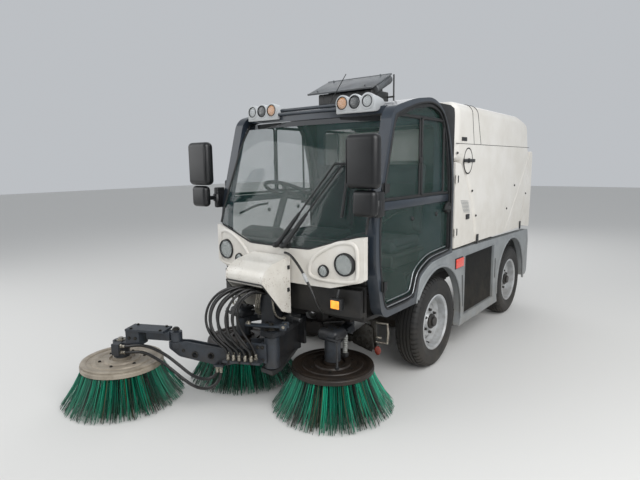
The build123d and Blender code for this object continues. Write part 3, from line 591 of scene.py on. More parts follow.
pins = [turned([(0.006, 0.004), (0.006, 0.018), (0.003, 0.020)], (x, y, 0), sides=10)
        for x in (-0.22, 0.22) for y in (-0.120, 0.120)]
frame_strips = [block((-0.298, y, 0.004), (0.298, y + 0.012, 0.008), 0.001, 1) for y in (-0.158, 0.146)]
top_plate = joined([top_plate, *pins, *frame_strips])
top_plate.data.transform(slope)
steps = []
for k in range(12):
    steps += [(0.034, 0.01 + k * 0.018), (0.034, 0.022 + k * 0.018), (0.030, 0.023 + k * 0.018),
              (0.030, 0.027 + k * 0.018)]
drum = turned([(0.02, 0.0), (0.031, 0.002)] + steps + [(0.03, 0.238), (0.02, 0.241)],
              at(0.205, -0.190, 2.085), (0, 0.220, 0.100), 24)
post = pipe([at(0.262, 0, 1.985), at(0.262, 0, 2.1), at(0.262, 0, 2.208)], 0.006, order=2)
arm_bar = block(at(0.205, -0.006, 2.040), at(0.268, 0.006, 2.052), 0.002, 1)
collar = turned([(0.016, 0), (0.016, 0.012), (0.009, 0.018)], at(0.262, 0, 1.984), (0, 0, 1), 16)
made_of(roof_black, case, upper, post, arm_bar, collar, *ribs)
made_of(grey_sheet, top_plate, drum)
unit = joined([case, upper, top_plate, drum, post, arm_bar, collar, *ribs])
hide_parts("roof_unit")
done(unit, "roof_box", "root")
aerial = joined([pipe([at(0.02, -0.50, 1.955), at(0.095, -0.50, 2.06), at(0.171, -0.50, 2.157)], 0.0028,
                      sides=2),
                 turned([(0.014, 0), (0.014, 0.008), (0.008, 0.016), (0.005, 0.034)],
                        at(0.02, -0.50, 1.948), (0.3, 0, 0.6), 14)])
done(made_of(roof_black, aerial), "aerial", "root")

# The mirrors: a tall black shell on a folding arm, with a smaller wide-angle mirror under it.
# The shells are grained black plastic, greyed along the rims, and the glasses are silvered.
mirror_plastic = surface("grained_black_plastic", "0c0d0f", "131416", 50, 0.36, 1.6, 0.2)
mirror_glass = surface("silvered_mirror_glass", "d4d8da", "c4c9cc", 200, 0.03, 40, 0.02, metallic=1.0)


def mirror_head(low, high, edge):
    """A rounded mirror shell whose rear face is pressed in to hold its glass."""
    shell = made_of(mirror_plastic, block(low, high, edge, 6))
    shell.data.materials.append(mirror_glass)
    opened_at(shell, lambda face: face.normal.y > 0.999)
    bpy.ops.mesh.inset(thickness=0.004, depth=-0.006)
    shell.active_material_index = 1
    bpy.ops.object.material_slot_assign()
    bpy.ops.object.mode_set(mode="OBJECT")
    return shell


def pair(piece, name, body, angle=35):
    """Finishes a left piece and its mirror image; braces in a name stand for its side."""
    twin = copied(piece, other_side)
    for side, shape in (("left", piece), ("right", twin)):
        done(shape, name.format(side), body.format(side), angle)


head = mirror_head(at(0.587, -1.128, 1.408), at(0.798, -1.048, 1.710), 0.034)
wide_head = mirror_head(at(0.628, -1.118, 1.252), at(0.782, -1.052, 1.402), 0.030)
rib = block(at(0.600, -1.1295, 1.440), at(0.607, -1.120, 1.680), 0.002, 1)
mirror_arm = pipe([at(0.700, -1.085, 1.40), at(0.700, -1.080, 1.325), at(0.696, -1.04, 1.310),
                   at(0.697, -0.95, 1.310), at(0.698, -0.905, 1.310)], 0.016)
clamp = block(at(0.678, -0.965, 1.235), at(0.713, -0.882, 1.385), 0.010, 3)
knuckle = turned([(0.026, 0), (0.026, 0.05), (0.02, 0.056)], at(0.697, -0.95, 1.284), (0, 0, 1), 20)
made_of(mirror_plastic, mirror_arm, clamp, knuckle, rib)
mirror = joined([head, wide_head, mirror_arm, clamp, knuckle, rib])
pair(mirror, "mirror_{}", "root", 50)
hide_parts("mirrors")

# The wiper: two sprung arms of black-painted steel in step, with a rubber blade on a bowed carrier.
# A round cover sleeves the lower part of each arm, and a cap holds it on its spindle.
wiper_paint = surface("black_painted_steel", "161718", "222324", 30, 0.42, 2, 0.15)
dress(wiper_paint, "wipers")
blade = [at(0.475, -0.992, 1.229), at(0.464, -0.921, 1.450), at(0.460, -0.845, 1.655)]
strip = [knot + Vector((-0.002, 0.005, 0)) for knot in blade]
strip += [knot + Vector((-0.002, 0.016, 0)) for knot in reversed(blade)]
rubber = plate(strip, (0.004, 0, 0))
covers = []
for foot_x, tip in ((0.034, at(0.359, -0.900, 1.547)), (0.093, at(0.420, -0.895, 1.549))):
    foot = at(foot_x, -1.092, 1.036)
    covers.append(turned([(0.008, -0.01), (0.0145, 0.0), (0.016, 0.03), (0.0135, 0.21), (0.009, 0.24)],
                         foot, tip - foot, 14))
    covers.append(turned([(0.018, -0.012), (0.018, 0.012), (0.013, 0.020), (0.013, 0.026), (0.006, 0.028)],
                         foot + Vector((0, -0.004, 0)), (0, -1, 0), 18))
wiper_parts = joined([*covers, rubber])
done(made_of(wiper_paint, wiper_parts), "wiper_covers", "root")

# The third brush's hoses: eleven from the ports under the hood, forward and down to a bracket on the
# swivel, and two in a low loop from a clamp on the arm to the motor. They are black rubber over wire
# braid, a little grey where they rub, in swaged steel ends with hexagon nuts.
hose_rubber = surface("wire_braided_hose_rubber", "0e0f10", "22201e", 25, 0.27, 1.5, 0.35)
plated_steel = surface("zinc_plated_steel", "b3ada0", "6f6a60", 12, 0.3, 2, 0.25, metallic=0.85)
swivel_pin = (0.145, -1.279)
arm_heading = radians(205)
bundle_radius, motor_radius = 0.008, 0.010
port_y, bracket_z = -1.2002, 0.3642
forward, up = Vector((0, -1, 0)), Vector((0, 0, 1))
straight = 0.062


def on_arm(s, y, z):
    """A point along the third arm from its swivel's pin, off to its left, and up."""
    return at(swivel_pin[0] + s * cos(arm_heading) - y * sin(arm_heading),
              swivel_pin[1] + s * sin(arm_heading) + y * cos(arm_heading), z)


along_arm = Vector((cos(arm_heading), sin(arm_heading), 0))
across_arm = Vector((-sin(arm_heading), cos(arm_heading), 0))


def middle_line(route):
    """The points of the smooth line that a hose's middle follows."""
    line = line_through(route)
    mesh = bpy.data.meshes.new_from_object(line)
    points = [vertex.co.copy() for vertex in mesh.vertices]
    bpy.data.objects.remove(line)
    return points


def hose(name, node, route, radius):
    """A hose along its route, as a smooth round pipe through its points, in place of a frame node."""
    line = middle_line(route)
    rubber = made_of(hose_rubber, pipe(route, radius))
    rubber.name = name
    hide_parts(node)
    pick([rubber])
    bpy.ops.object.shade_smooth()
    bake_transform(rubber)


def hose_end(place, axis, radius):
    """A swaged sleeve and a hexagon nut on the end of a hose."""
    nut = turned([(radius * 1.5, 0), (radius * 1.6, 0.0015), (radius * 1.6, 0.0125),
                  (radius * 1.45, 0.014)], place, axis, 6)
    sleeve = turned([(radius * 1.18, 0.012), (radius * 1.32, 0.014), (radius * 1.32, 0.02),
                     (radius * 1.22, 0.022), (radius * 1.32, 0.024), (radius * 1.32, 0.036),
                     (radius * 1.12, 0.038)], place, axis, 16)
    return made_of(plated_steel, joined([nut, sleeve]))


# Each hose of the bundle: its port (x, z), its way round, and its end on the bracket (along the arm,
# off to its left).
bundle_routes = [
    ((-0.130, 0.750), [(-0.160, -1.330, 0.752), (-0.202, -1.392, 0.712), (-0.222, -1.438, 0.648),
                       (-0.216, -1.462, 0.572), (-0.160, -1.500, 0.498)], (0.262, 0.074)),
    ((-0.105, 0.766), [(-0.128, -1.342, 0.772), (-0.168, -1.408, 0.742), (-0.194, -1.456, 0.686),
                       (-0.190, -1.488, 0.612), (-0.154, -1.500, 0.538), (-0.108, -1.486, 0.474)],
     (0.226, 0.074)),
    ((-0.055, 0.750), [(-0.076, -1.336, 0.760), (-0.112, -1.398, 0.726), (-0.140, -1.442, 0.664),
                       (-0.138, -1.466, 0.590), (-0.104, -1.468, 0.512)], (0.190, 0.074)),
    ((-0.025, 0.766), [(-0.040, -1.346, 0.780), (-0.072, -1.414, 0.762), (-0.102, -1.466, 0.714),
                       (-0.108, -1.498, 0.646), (-0.088, -1.500, 0.570), (-0.044, -1.474, 0.496)],
     (0.154, 0.074)),
    ((0.030, 0.750), [(0.012, -1.332, 0.766), (-0.018, -1.388, 0.730), (-0.038, -1.426, 0.668),
                      (-0.034, -1.444, 0.596), (0.000, -1.432, 0.520)], (0.118, 0.074)),
    ((0.070, 0.766), [(0.054, -1.338, 0.776), (0.032, -1.398, 0.748), (0.016, -1.434, 0.692),
                      (0.018, -1.448, 0.622), (0.042, -1.430, 0.542)], (0.082, 0.074)),
    ((-0.080, 0.750), [(-0.104, -1.350, 0.792), (-0.146, -1.430, 0.770), (-0.178, -1.490, 0.708),
                       (-0.180, -1.526, 0.628), (-0.150, -1.536, 0.548), (-0.092, -1.516, 0.476)],
     (0.250, 0.104)),
    ((-0.042, 0.784), [(-0.062, -1.354, 0.796), (-0.096, -1.434, 0.776), (-0.124, -1.494, 0.716),
                       (-0.128, -1.532, 0.636), (-0.102, -1.540, 0.554), (-0.052, -1.512, 0.480)],
     (0.214, 0.104)),
    ((-0.005, 0.750), [(-0.022, -1.350, 0.794), (-0.050, -1.428, 0.770), (-0.072, -1.486, 0.710),
                       (-0.074, -1.522, 0.632), (-0.050, -1.530, 0.552), (-0.008, -1.500, 0.478)],
     (0.178, 0.104)),
    ((0.045, 0.766), [(0.030, -1.350, 0.796), (0.006, -1.428, 0.772), (-0.012, -1.484, 0.712),
                      (-0.012, -1.516, 0.634), (0.014, -1.518, 0.552), (0.046, -1.484, 0.478)],
     (0.138, 0.104)),
    ((0.092, 0.750), [(0.080, -1.348, 0.794), (0.054, -1.424, 0.770), (0.036, -1.476, 0.710),
                      (0.038, -1.504, 0.634), (0.060, -1.500, 0.552), (0.084, -1.466, 0.478)],
     (0.100, 0.104)),
]
for count, ((x, z), way, foot_place) in enumerate(bundle_routes):
    port, foot = at(x, port_y, z), on_arm(*foot_place, bracket_z)
    route = [port, port + straight * forward, *[at(*place) for place in way], foot + straight * up, foot]
    name = f"bundle_hose_{count + 1}"
    hose(name, "hose_bundle", route, bundle_radius)
    done(hose_end(port, forward, bundle_radius), name + "_top_end", "root")
    done(hose_end(foot, up, bundle_radius), name + "_foot_end", "third_swivel")

# Each motor hose's way: along the arm from its swivel, off to its left, and up.
motor_routes = [
    [(0.318, 0.064, 0.2998), (0.318, 0.064, 0.240), (0.350, 0.078, 0.182), (0.416, 0.088, 0.150),
     (0.496, 0.092, 0.164), (0.576, 0.092, 0.214), (0.660, 0.090, 0.276), (0.752, 0.086, 0.330),
     (0.846, 0.080, 0.364), (0.936, 0.074, 0.352), (0.980, 0.070, 0.345), (1.0218, 0.070, 0.345)],
    [(0.344, 0.064, 0.2998), (0.344, 0.064, 0.256), (0.386, 0.066, 0.216), (0.450, 0.068, 0.206),
     (0.520, 0.068, 0.226), (0.596, 0.068, 0.282), (0.676, 0.070, 0.342), (0.764, 0.072, 0.386),
     (0.856, 0.074, 0.408), (0.936, 0.072, 0.394), (0.980, 0.070, 0.385), (1.0218, 0.070, 0.385)],
]
end_radius = motor_radius * 0.85
for count, stations in enumerate(motor_routes):
    route = [on_arm(*station) for station in stations]
    name = f"motor_hose_{count + 1}"
    hose(name, "motor_hoses", route, motor_radius)
    done(hose_end(route[0], -up, end_radius), name + "_clamp_end", "third_inner_arm")
    done(hose_end(route[-1], -along_arm, end_radius), name + "_motor_end", "third_outer_arm")

# The third brush's tower, swivel and arm: welded plate in slate paint, chipped and browned at the
# edges, with black pins, bolts in their holes and a white glass-fibre hood over the post.
arm_paint = surface("chipped_slate_arm_paint", "2c343d", "1f242a", 70, 0.42, 3, 0.2,
                    dust=("544b41", 0.15, 0.6, 0.35))
tower_paint = surface("dark_slate_tower_paint", "20252b", "181b1f", 80, 0.45, 3, 0.2,
                      dust=("4f473e", 0.2, 0.7, 0.35))
dress(tower_paint, "tower_frame")
dress(arm_paint, "third_swivel", "third_inner_arm", "third_outer_arm")
hood_finish = surface("rust_specked_gelcoat", "dedbd4", "d2cec5", 200, 0.3, 5, 0.06, coat=0.3,
                      dust=("a79c8a", 0.55, 1.0, 0.35))
hood_shader = hood_finish.node_tree.nodes["Principled BSDF"]
clean_shade = hood_shader.inputs["Base Color"].links[0].from_socket
hood_place = add(hood_finish, "TexCoord").outputs["Object"]
speck = add(hood_finish, "TexNoise", {"Vector": hood_place, "Scale": 120, "Detail": 3}).outputs[0]
group = add(hood_finish, "TexNoise", {"Vector": hood_place, "Scale": 9, "Detail": 2}).outputs[0]
sharp = add(hood_finish, "MapRange", {0: speck, 1: 0.62, 2: 0.66}).outputs[0]
near = add(hood_finish, "MapRange", {0: group, 1: 0.50, 2: 0.60}).outputs[0]
rusty = add(hood_finish, "Math", {0: sharp, 1: near}, operation="MULTIPLY").outputs[0]
specked = add(hood_finish, "Mix", {0: rusty, 6: clean_shade, 7: colour("6b4a33")}, data_type="RGBA")
feed(hood_finish, hood_shader, {"Base Color": specked.outputs[2]})
hood = copied(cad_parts["tower_cover"])
rounded(made_of(hood_finish, hood), 0.012, 4, 50)
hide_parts("tower_cover")
done(hood, "hood_moulding", "root", 40)
dark_steel = surface("oiled_dark_steel", "3a3936", "29251f", 20, 0.4, 2, 0.3, metallic=0.7)


def bolt(place, axis, size, steel=dark_steel):
    """A hexagon bolt's head on its washer; the size is across its corners."""
    washer = turned([(size * 0.62, 0), (size * 0.62, size * 0.1), (size * 0.55, size * 0.12)],
                    place, axis, 20)
    head = turned([(size * 0.48, size * 0.1), (size * 0.5, size * 0.14), (size * 0.5, size * 0.38),
                   (size * 0.42, size * 0.44)], place, axis, 6)
    return made_of(steel, joined([washer, head]))


def pin_cap(place, axis, radius, steel=dark_steel):
    """The collar and cap on the end of a pin."""
    return made_of(steel, turned([(radius * 1.45, 0), (radius * 1.45, 0.006), (radius * 1.3, 0.008),
                                  (radius, 0.009), (radius, 0.014), (radius * 0.8, 0.016)],
                                 place, axis, 24))


swivel_parts = [pin_cap(at(*swivel_pin, 0.541), up, 0.022), pin_cap(at(*swivel_pin, 0.263), -up, 0.022)]
swivel_parts += [bolt(on_arm(s, 0.0525, z), across_arm, 0.020)
                 for s, z in ((0.045, 0.44), (0.075, 0.44), (0.045, 0.358))]
swivel_parts += [bolt(on_arm(s, 0.122, 0.358), across_arm, 0.012) for s in (0.10, 0.17, 0.24)]
done(joined(swivel_parts), "swivel_fixings", "third_swivel")
inner_parts = [pin_cap(on_arm(0.120, way * 0.0600, 0.400), way * across_arm, 0.0165) for way in (1, -1)]
inner_parts += [made_of(dark_steel, turned(
    [(0.0155, -0.0005), (0.0215, -0.0005), (0.0215, 0.005), (0.020, 0.0065), (0.0155, 0.0065),
     (0.0155, -0.0005)], on_arm(s, 0.028, 0.350), across_arm, 28, hollow=True)) for s in (0.400, 0.510)]
inner_parts += [bolt(on_arm(s, 0.028, z), across_arm, 0.018) for s, z in ((0.250, 0.365), (0.590, 0.372))]
inner_parts += [bolt(on_arm(s, 0.050, 0.312), up, 0.012) for s in (0.318, 0.344)]
done(joined(inner_parts), "inner_arm_fixings", "third_inner_arm")
outer_parts = [bolt(on_arm(s, y, 0.500), up, 0.018) for s in (0.74, 0.95) for y in (-0.042, 0.042)]
outer_parts += [bolt(on_arm(s, 0.0552, z), across_arm, 0.018) for s, z in ((0.915, 0.440), (0.960, 0.440))]
outer_parts += [bolt(on_arm(1.060 + 0.036 * cos(k), 0.036 * sin(k), 0.402), up, 0.012)
                for k in (0.8, 2.37, 3.94, 5.5)]
outer_parts.append(pin_cap(on_arm(0.650, 0, 0.500), up, 0.0165))
outer_parts.append(made_of(plated_steel, turned([(0.030, 0), (0.030, 0.004), (0.018, 0.006), (0.016, 0.018)],
                                                on_arm(1.060, 0, 0.402), up, 24)))
done(joined(outer_parts), "outer_arm_fixings", "third_outer_arm")

# Bolts hold the tower's upper plate and ports. A rubber lip, pushed on, runs along the hood's open
# edge, and two clips hold its left face.
tower_parts = [bolt(at(x, y, 0.535), up, 0.022)
               for x, y in ((-0.08, -0.93), (0.08, -0.93), (0.170, -1.255), (0.120, -1.305), (0.02, -1.19))]
tower_parts += [bolt(at(x, -1.2, z), forward, 0.014) for x, z in ((-0.142, 0.786), (0.096, 0.742))]
done(joined(tower_parts), "tower_fixings", "root")
hood_lip = pipe([at(-0.199, -1.166, 0.626), at(-0.199, -1.325, 0.818), at(-0.188, -1.331, 0.826),
                 at(0.113, -1.331, 0.826), at(0.124, -1.325, 0.818), at(0.124, -1.166, 0.626)],
                0.0045, order=2)
clips = [block(at(0.1245, y, z), at(0.134, y + 0.018, z + 0.026), 0.003)
         for y, z in ((-1.100, 0.885), (-1.105, 0.74))]
done(made_of(window_rubber, joined([hood_lip, *clips])), "hood_lip", "root")

# On the swivel's pin a flat strap turns with the arm, with a forked block at its rear end and an eye
# at its front. On the tower's upper plate stand two valve blocks, with plated pipes up to the ports.
strap_low, strap_high = 0.5575, 0.5695
strap = plate([on_arm(s, y, strap_low) for s, y in ((-0.085, -0.020), (0.150, -0.020), (0.172, -0.010),
                                                    (0.172, 0.010), (0.150, 0.020), (-0.085, 0.020))],
              (0, 0, strap_high - strap_low), 0.002)
fork = []
for near, far in ((-0.032, -0.0205), (0.0205, 0.032)):
    corners = ((-0.105, near), (-0.060, near), (-0.060, far), (-0.105, far))
    fork.append(plate([on_arm(s, y, 0.548) for s, y in corners], (0, 0, 0.038), 0.003))
fork_pin = turned([(0.010, -0.037), (0.010, 0.037)], on_arm(-0.085, 0, 0.570), across_arm, 18)
eye = turned([(0.016, 0), (0.016, 0.010), (0.009, 0.011), (0.009, 0.018)], on_arm(0.150, 0, strap_high),
             up, 20)
strap_bolt = bolt(on_arm(0, 0, strap_high), up, 0.026)
made_of(arm_paint, strap, *fork)
made_of(plated_steel, fork_pin, eye)
done(joined([strap, fork_pin, eye, strap_bolt, *fork]), "swivel_strap", "third_swivel")
valves = [block(at(-0.104, -1.150, 0.5355), at(-0.056, -1.085, 0.622), 0.004),
          block(at(-0.100, -1.146, 0.622), at(-0.060, -1.120, 0.650), 0.003),
          block(at(0.084, -1.110, 0.5355), at(0.166, -1.020, 0.586), 0.005),
          turned([(0.019, 0), (0.019, 0.050), (0.014, 0.056)], at(0.166, -1.085, 0.562), (1, 0, 0), 20),
          turned([(0.012, 0), (0.012, 0.030), (0.008, 0.034)], at(0.110, -1.080, 0.586), up, 16)]
made_of(lamp_black, *valves)
small_pipes = (-0.096, -0.080, -0.064)
pipes = [pipe([at(x, -1.155, 0.575), at(x, -1.176, 0.580), at(x + 0.012, -1.186, 0.650),
               at(x + 0.030, -1.182, 0.722)], 0.0055) for x in small_pipes]
pipes.append(pipe([at(0.098, -1.115, 0.560), at(0.088, -1.150, 0.565), at(0.076, -1.186, 0.620),
                   at(0.070, -1.186, 0.722)], 0.0065))
made_of(plated_steel, *pipes)
unions = [bolt(at(x, -1.150, 0.575), forward, 0.020, plated_steel) for x in small_pipes]
unions.append(bolt(at(0.098, -1.110, 0.560), forward, 0.022, plated_steel))
done(joined(valves + pipes + unions), "tower_valves", "root")

# A washer hose leaves the wipers' feet, passes the hood's left face and goes in under the panel.
# It is black rubber with a pale sleeve half way down.
washer_way = [(0.090, -1.080, 0.988), (0.140, -1.098, 0.990), (0.200, -1.110, 0.955), (0.262, -1.114, 0.892),
              (0.312, -1.112, 0.812), (0.357, -1.108, 0.724), (0.372, -1.085, 0.660), (0.372, -1.050, 0.625)]
washer_hose = made_of(hose_rubber, pipe([at(*place) for place in washer_way], 0.0085))
sleeve = turned([(0.0095, 0), (0.0115, 0.002), (0.0115, 0.058), (0.0095, 0.060)],
                at(0.270, -1.114, 0.880), (0.50, 0, -0.80), 16)
done(joined([washer_hose, made_of(pod_shell_paint, sleeve)]), "washer_hose", "root", 60)

# The brushes: a stepped steel disc with its bristles in tufts, flaring out to a worn, uneven edge.
# Most bristles are green nylon, mixed with darker and browned ones, and they curve out at their tips.
# Toward the ground every strand's colour turns darker and browner.
bristle_nylon, nylon_shader, nylon_place = blank_finish("mixed_green_bristle_nylon")
tone = add(bristle_nylon, "Attribute", attribute_name="tone").outputs["Fac"]
ramp = add(bristle_nylon, "ValToRGB", {0: tone})
ramp.color_ramp.interpolation = "CONSTANT"
shades = [(0.0, "0b5f4a"), (0.24, "138265"), (0.45, "1fa27f"), (0.58, "073c30"), (0.72, "181814"),
          (0.93, "5f5138")]
for number, (share, code) in enumerate(shades):
    stop = ramp.color_ramp.elements[number] if number < 2 else ramp.color_ramp.elements.new(share)
    stop.position = share
    stop.color = colour(code)
nylon_height = add(bristle_nylon, "SeparateXYZ", {0: nylon_place}).outputs[2]
# Toward the tips, near the ground, the colour is mixed darker and browner.
tip_darkening = add(bristle_nylon, "MapRange", {0: nylon_height, 1: 0.14, 2: 0.0, 3: 0.0, 4: 0.6})
tip_darkened = add(bristle_nylon, "Mix", {0: tip_darkening.outputs[0], 6: ramp.outputs[0], 7: colour("332d24")},
             data_type="RGBA")
feed(bristle_nylon, nylon_shader, {"Base Color": tip_darkened.outputs[2], "Roughness": 0.42})
tufts, strands, steps = 76, 15, 4
crown_radius, row_step, foot_step = 0.252, 0.023, 0.055


def bristles(node, body, seed):
    """A crown of bristles in the place of a node, as thin three-sided strands in tufts."""
    low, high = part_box(node)
    middle = (low + high) / 2
    reach = (high.x - low.x) / 2 - 0.001
    top, foot = high.z + 0.002, low.z
    ring = 3 * (steps + 1)
    picks = random.Random(seed)
    points, faces, tones = [], [], []
    for tuft in range(tufts):
        tuft_angle = (tuft + picks.uniform(-0.12, 0.12)) * 2 * pi / tufts
        tuft_tone = picks.random()
        for strand in range(strands):
            angle = tuft_angle + picks.uniform(-0.42, 0.42) * 2 * pi / tufts
            start = crown_radius - row_step * (strand % 3) - picks.uniform(0, 0.008)
            end = reach - foot_step * (strand % 3) - picks.uniform(0, 0.030)
            twist = picks.uniform(-0.05, 0.05)
            bow = picks.uniform(0.004, 0.020)
            drop = foot + picks.uniform(0, 0.016)
            width = picks.uniform(0.0016, 0.0024)
            shade = tuft_tone * 0.78 if picks.random() < 0.72 else picks.random()
            for step in range(steps + 1):
                share = step / steps
                radius = start + (end - start) * share - bow * 4 * share * (1 - share)
                turn = angle + twist * share ** 2
                place = Vector((middle.x + radius * cos(turn), middle.y + radius * sin(turn),
                                top + (drop - top) * share))
                for corner in range(3):
                    around = turn + corner * 2 * pi / 3
                    points.append(place + Vector((cos(around), sin(around), 0)) * width)
            first, last = len(points) - ring, len(points) - 3
            for step in range(first, last, 3):
                for corner in range(3):
                    a, b = step + corner, step + (corner + 1) % 3
                    faces.append((a, a + 3, b + 3, b))
            faces.append((last, last + 2, last + 1))
            faces.append((first, first + 1, first + 2))
            tones += [shade] * ring
    mesh = bpy.data.meshes.new(node)
    mesh.from_pydata(points, [], faces)
    mesh.attributes.new("tone", "FLOAT", "POINT").data.foreach_set("value", tones)
    piece = made_of(bristle_nylon, in_scene(node, mesh))
    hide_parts(node)
    piece.name = node + "_tufts"
    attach(piece, body)


# The discs: on the gutter brushes dark brown from rust and oil, darker still as painted shade; on the
# third one weathered grey-tan.
# Rolled steps run round each disc, and bolts hold its clamp ring and its hub.
# Painted shade: the gutter discs' brown is taken darker than the rusted steel, for the shadow they sit in.
rust_and_shade_dark_disc = surface("rust_brown_disc_steel_with_painted_shade", "261e18", "181412", 60, 0.46, 3, 0.35, metallic=0.25,
                      dust=("43382d", 0.2, 0.5, 0.35))
weathered_disc = surface("weathered_grey_disc", "a0978a", "7b7267", 90, 0.5, 3, 0.3, metallic=0.15,
                         dust=("b0a48f", 0.2, 0.5, 0.4))
rolled_steps = [([(0.258, -0.0005), (0.260, 0.004), (0.250, 0.009), (0.236, 0.010), (0.226, 0.005),
                  (0.224, -0.0005), (0.258, -0.0005)], 56),
                ([(0.196, -0.0005), (0.192, 0.006), (0.170, 0.008), (0.160, 0.002), (0.158, -0.0005),
                  (0.196, -0.0005)], 56),
                ([(0.120, -0.0005), (0.114, 0.010), (0.090, 0.013), (0.082, 0.013), (0.080, -0.0005),
                  (0.120, -0.0005)], 48),
                ([(0.2625, -0.036), (0.2655, -0.034), (0.2655, -0.012), (0.2625, -0.008), (0.2620, -0.012),
                  (0.2620, -0.034), (0.2625, -0.036)], 56)]
disc_finishes = [("left", rust_and_shade_dark_disc, 3), ("right", rust_and_shade_dark_disc, 5), ("third", weathered_disc, 8)]
for side, disc_steel, seed in disc_finishes:
    dress(disc_steel, f"brush_disc_{side}")
    bristles(f"bristles_{side}", f"brush_{side}", seed)
    low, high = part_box(f"brush_disc_{side}")
    centre = Vector(((low.x + high.x) / 2, (low.y + high.y) / 2, high.z - 0.022))
    rings = [turned(profile, centre, up, sides, hollow=True) for profile, sides in rolled_steps]
    made_of(disc_steel, *rings)
    heads = [bolt(centre + Vector((0.141 * cos(k * pi / 3), 0.141 * sin(k * pi / 3), 0)), up, 0.018)
             for k in range(6)]
    heads += [bolt(centre + Vector((0.042 * cos(k * pi / 2), 0.042 * sin(k * pi / 2), 0.022)), up, 0.014)
              for k in range(4)]
    done(joined(rings + heads), f"brush_{side}_rings", f"brush_{side}")

# The gutter brush gear: the arm's paint is slate, and over the disc it carries a hydraulic motor
# under a rounded cover, a bellows over the spring strut, bracket plates, a threaded rod that sets
# the tilt, and a red reflector browned by dirt.
dress(arm_paint, "brush_arm_left", "brush_arm_right")
bellows_rubber = surface("dusty_grey_bellows", "9a9b98", "75756f", 30, 0.6, 2, 0.3)
pleats = [(0.010, -0.002)]
for k in range(9):
    pleats += [(0.0165, 0.004 + k * 0.0135), (0.0120, 0.0105 + k * 0.0135)]
bellows = turned(pleats + [(0.010, 0.128)], at(0.432, -0.900, 0.338), (0.05, 0, 1), 20)
strut_ends = [turned([(0.011, 0), (0.011, 0.02), (0.016, 0.022), (0.016, 0.03), (0.008, 0.032)],
                     at(0.438, -0.900, 0.458), (0.05, 0, 1), 18),
              block(at(0.414, -0.918, 0.310), at(0.450, -0.882, 0.340), 0.003)]
motor_cover = block(at(0.318, -1.058, 0.446), at(0.470, -0.918, 0.520), 0.030, 4)
plates = [plate([at(x, y, z) for x, z in ((0.470, 0.402), (0.612, 0.372), (0.628, 0.398), *upper_edge)],
                (0, 0.008, 0), 0.002)
          for y, upper_edge in ((-0.868, ((0.620, 0.530), (0.566, 0.552), (0.470, 0.470))),
                                (-0.828, ((0.620, 0.520), (0.560, 0.535), (0.470, 0.460))))]
plates.append(block(at(0.340, -0.862, 0.408), at(0.500, -0.830, 0.446), 0.004))
hook = pipe([at(0.632, -0.850, 0.564), at(0.716, -0.850, 0.570), at(0.722, -0.850, 0.510),
             at(0.716, -0.850, 0.446), at(0.632, -0.850, 0.440)], 0.0075, order=2)
spacers = [turned([(0.011, -0.034), (0.011, 0.034), (0.009, 0.036)], at(x, -0.850, z), (0, 1, 0), 16)
           for x, z in ((0.600, 0.500), (0.590, 0.410), (0.520, 0.440))]
bar = block(at(0.600, -0.858, 0.430), at(0.640, -0.842, 0.578), 0.003)
threads = [(0.007, 0.0)]
for k in range(26):
    threads += [(0.0085, 0.004 + k * 0.008), (0.0068, 0.008 + k * 0.008)]
adjuster = turned(threads + [(0.006, 0.218)], at(0.484, -1.060, 0.290), up, 14)
adjuster_parts = [block(at(0.400, -1.072, 0.468), at(0.500, -1.046, 0.482), 0.002)]
adjuster_parts += [turned([(0.013, 0), (0.013, 0.014), (0.010, 0.016)], at(0.484, -1.060, z), up, 6)
                   for z in (0.484, 0.292)]
disc_low, disc_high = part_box("brush_disc_left")
motor_place = Vector(((disc_low.x + disc_high.x) / 2, (disc_low.y + disc_high.y) / 2, 0.45))
motor_bolts = [bolt(motor_place + Vector((0.036 * cos(k), 0.036 * sin(k), 0.070)), up, 0.014)
               for k in (0.5, 2.1, 3.7, 5.3)]
gear_hose = pipe([motor_place + Vector((-0.06, 0.02, 0.040)), motor_place + Vector((-0.13, 0.03, 0.070)),
                  at(0.262, -0.860, 0.500), at(0.262, -0.780, 0.480), at(0.284, -0.720, 0.470)], 0.0085)
reflector_place = at(0.664, -0.874, 0.396)
reflector = turned([(0.024, 0), (0.024, 0.006), (0.019, 0.010), (0.006, 0.012)], reflector_place,
                   (0.1, -1, 0), 28)
reflector.data.transform(about(reflector_place, Matrix.Diagonal((0.86, 1, 1.15, 1))))
dull_red = surface("dirt_browned_reflector", "7d2a1c", "4e241b", 14, 0.3, 3, 0.2)
bright_chip = block(at(0.640, -0.862, 0.468), at(0.676, -0.848, 0.480), 0.002)
made_of(tower_paint, motor_cover, adjuster, *strut_ends, *adjuster_parts)
made_of(bellows_rubber, bellows)
made_of(dark_steel, bar, *plates, *spacers)
made_of(plated_steel, hook, bright_chip)
made_of(hose_rubber, gear_hose)
made_of(dull_red, reflector)
gear = joined([motor_cover, bellows, adjuster, hook, bar, bright_chip, gear_hose, reflector, *strut_ends,
               *plates, *spacers, *adjuster_parts, *motor_bolts])
right_arm_pin = at(-0.300, -0.655, 0)
parked_out = about(right_arm_pin, Matrix.Rotation(radians(-8), 4, "Z"))
right_gear = copied(gear, parked_out @ other_side)
done(gear, "brush_gear_left", "brush_arm_left")
done(right_gear, "brush_gear_right", "brush_arm_right")

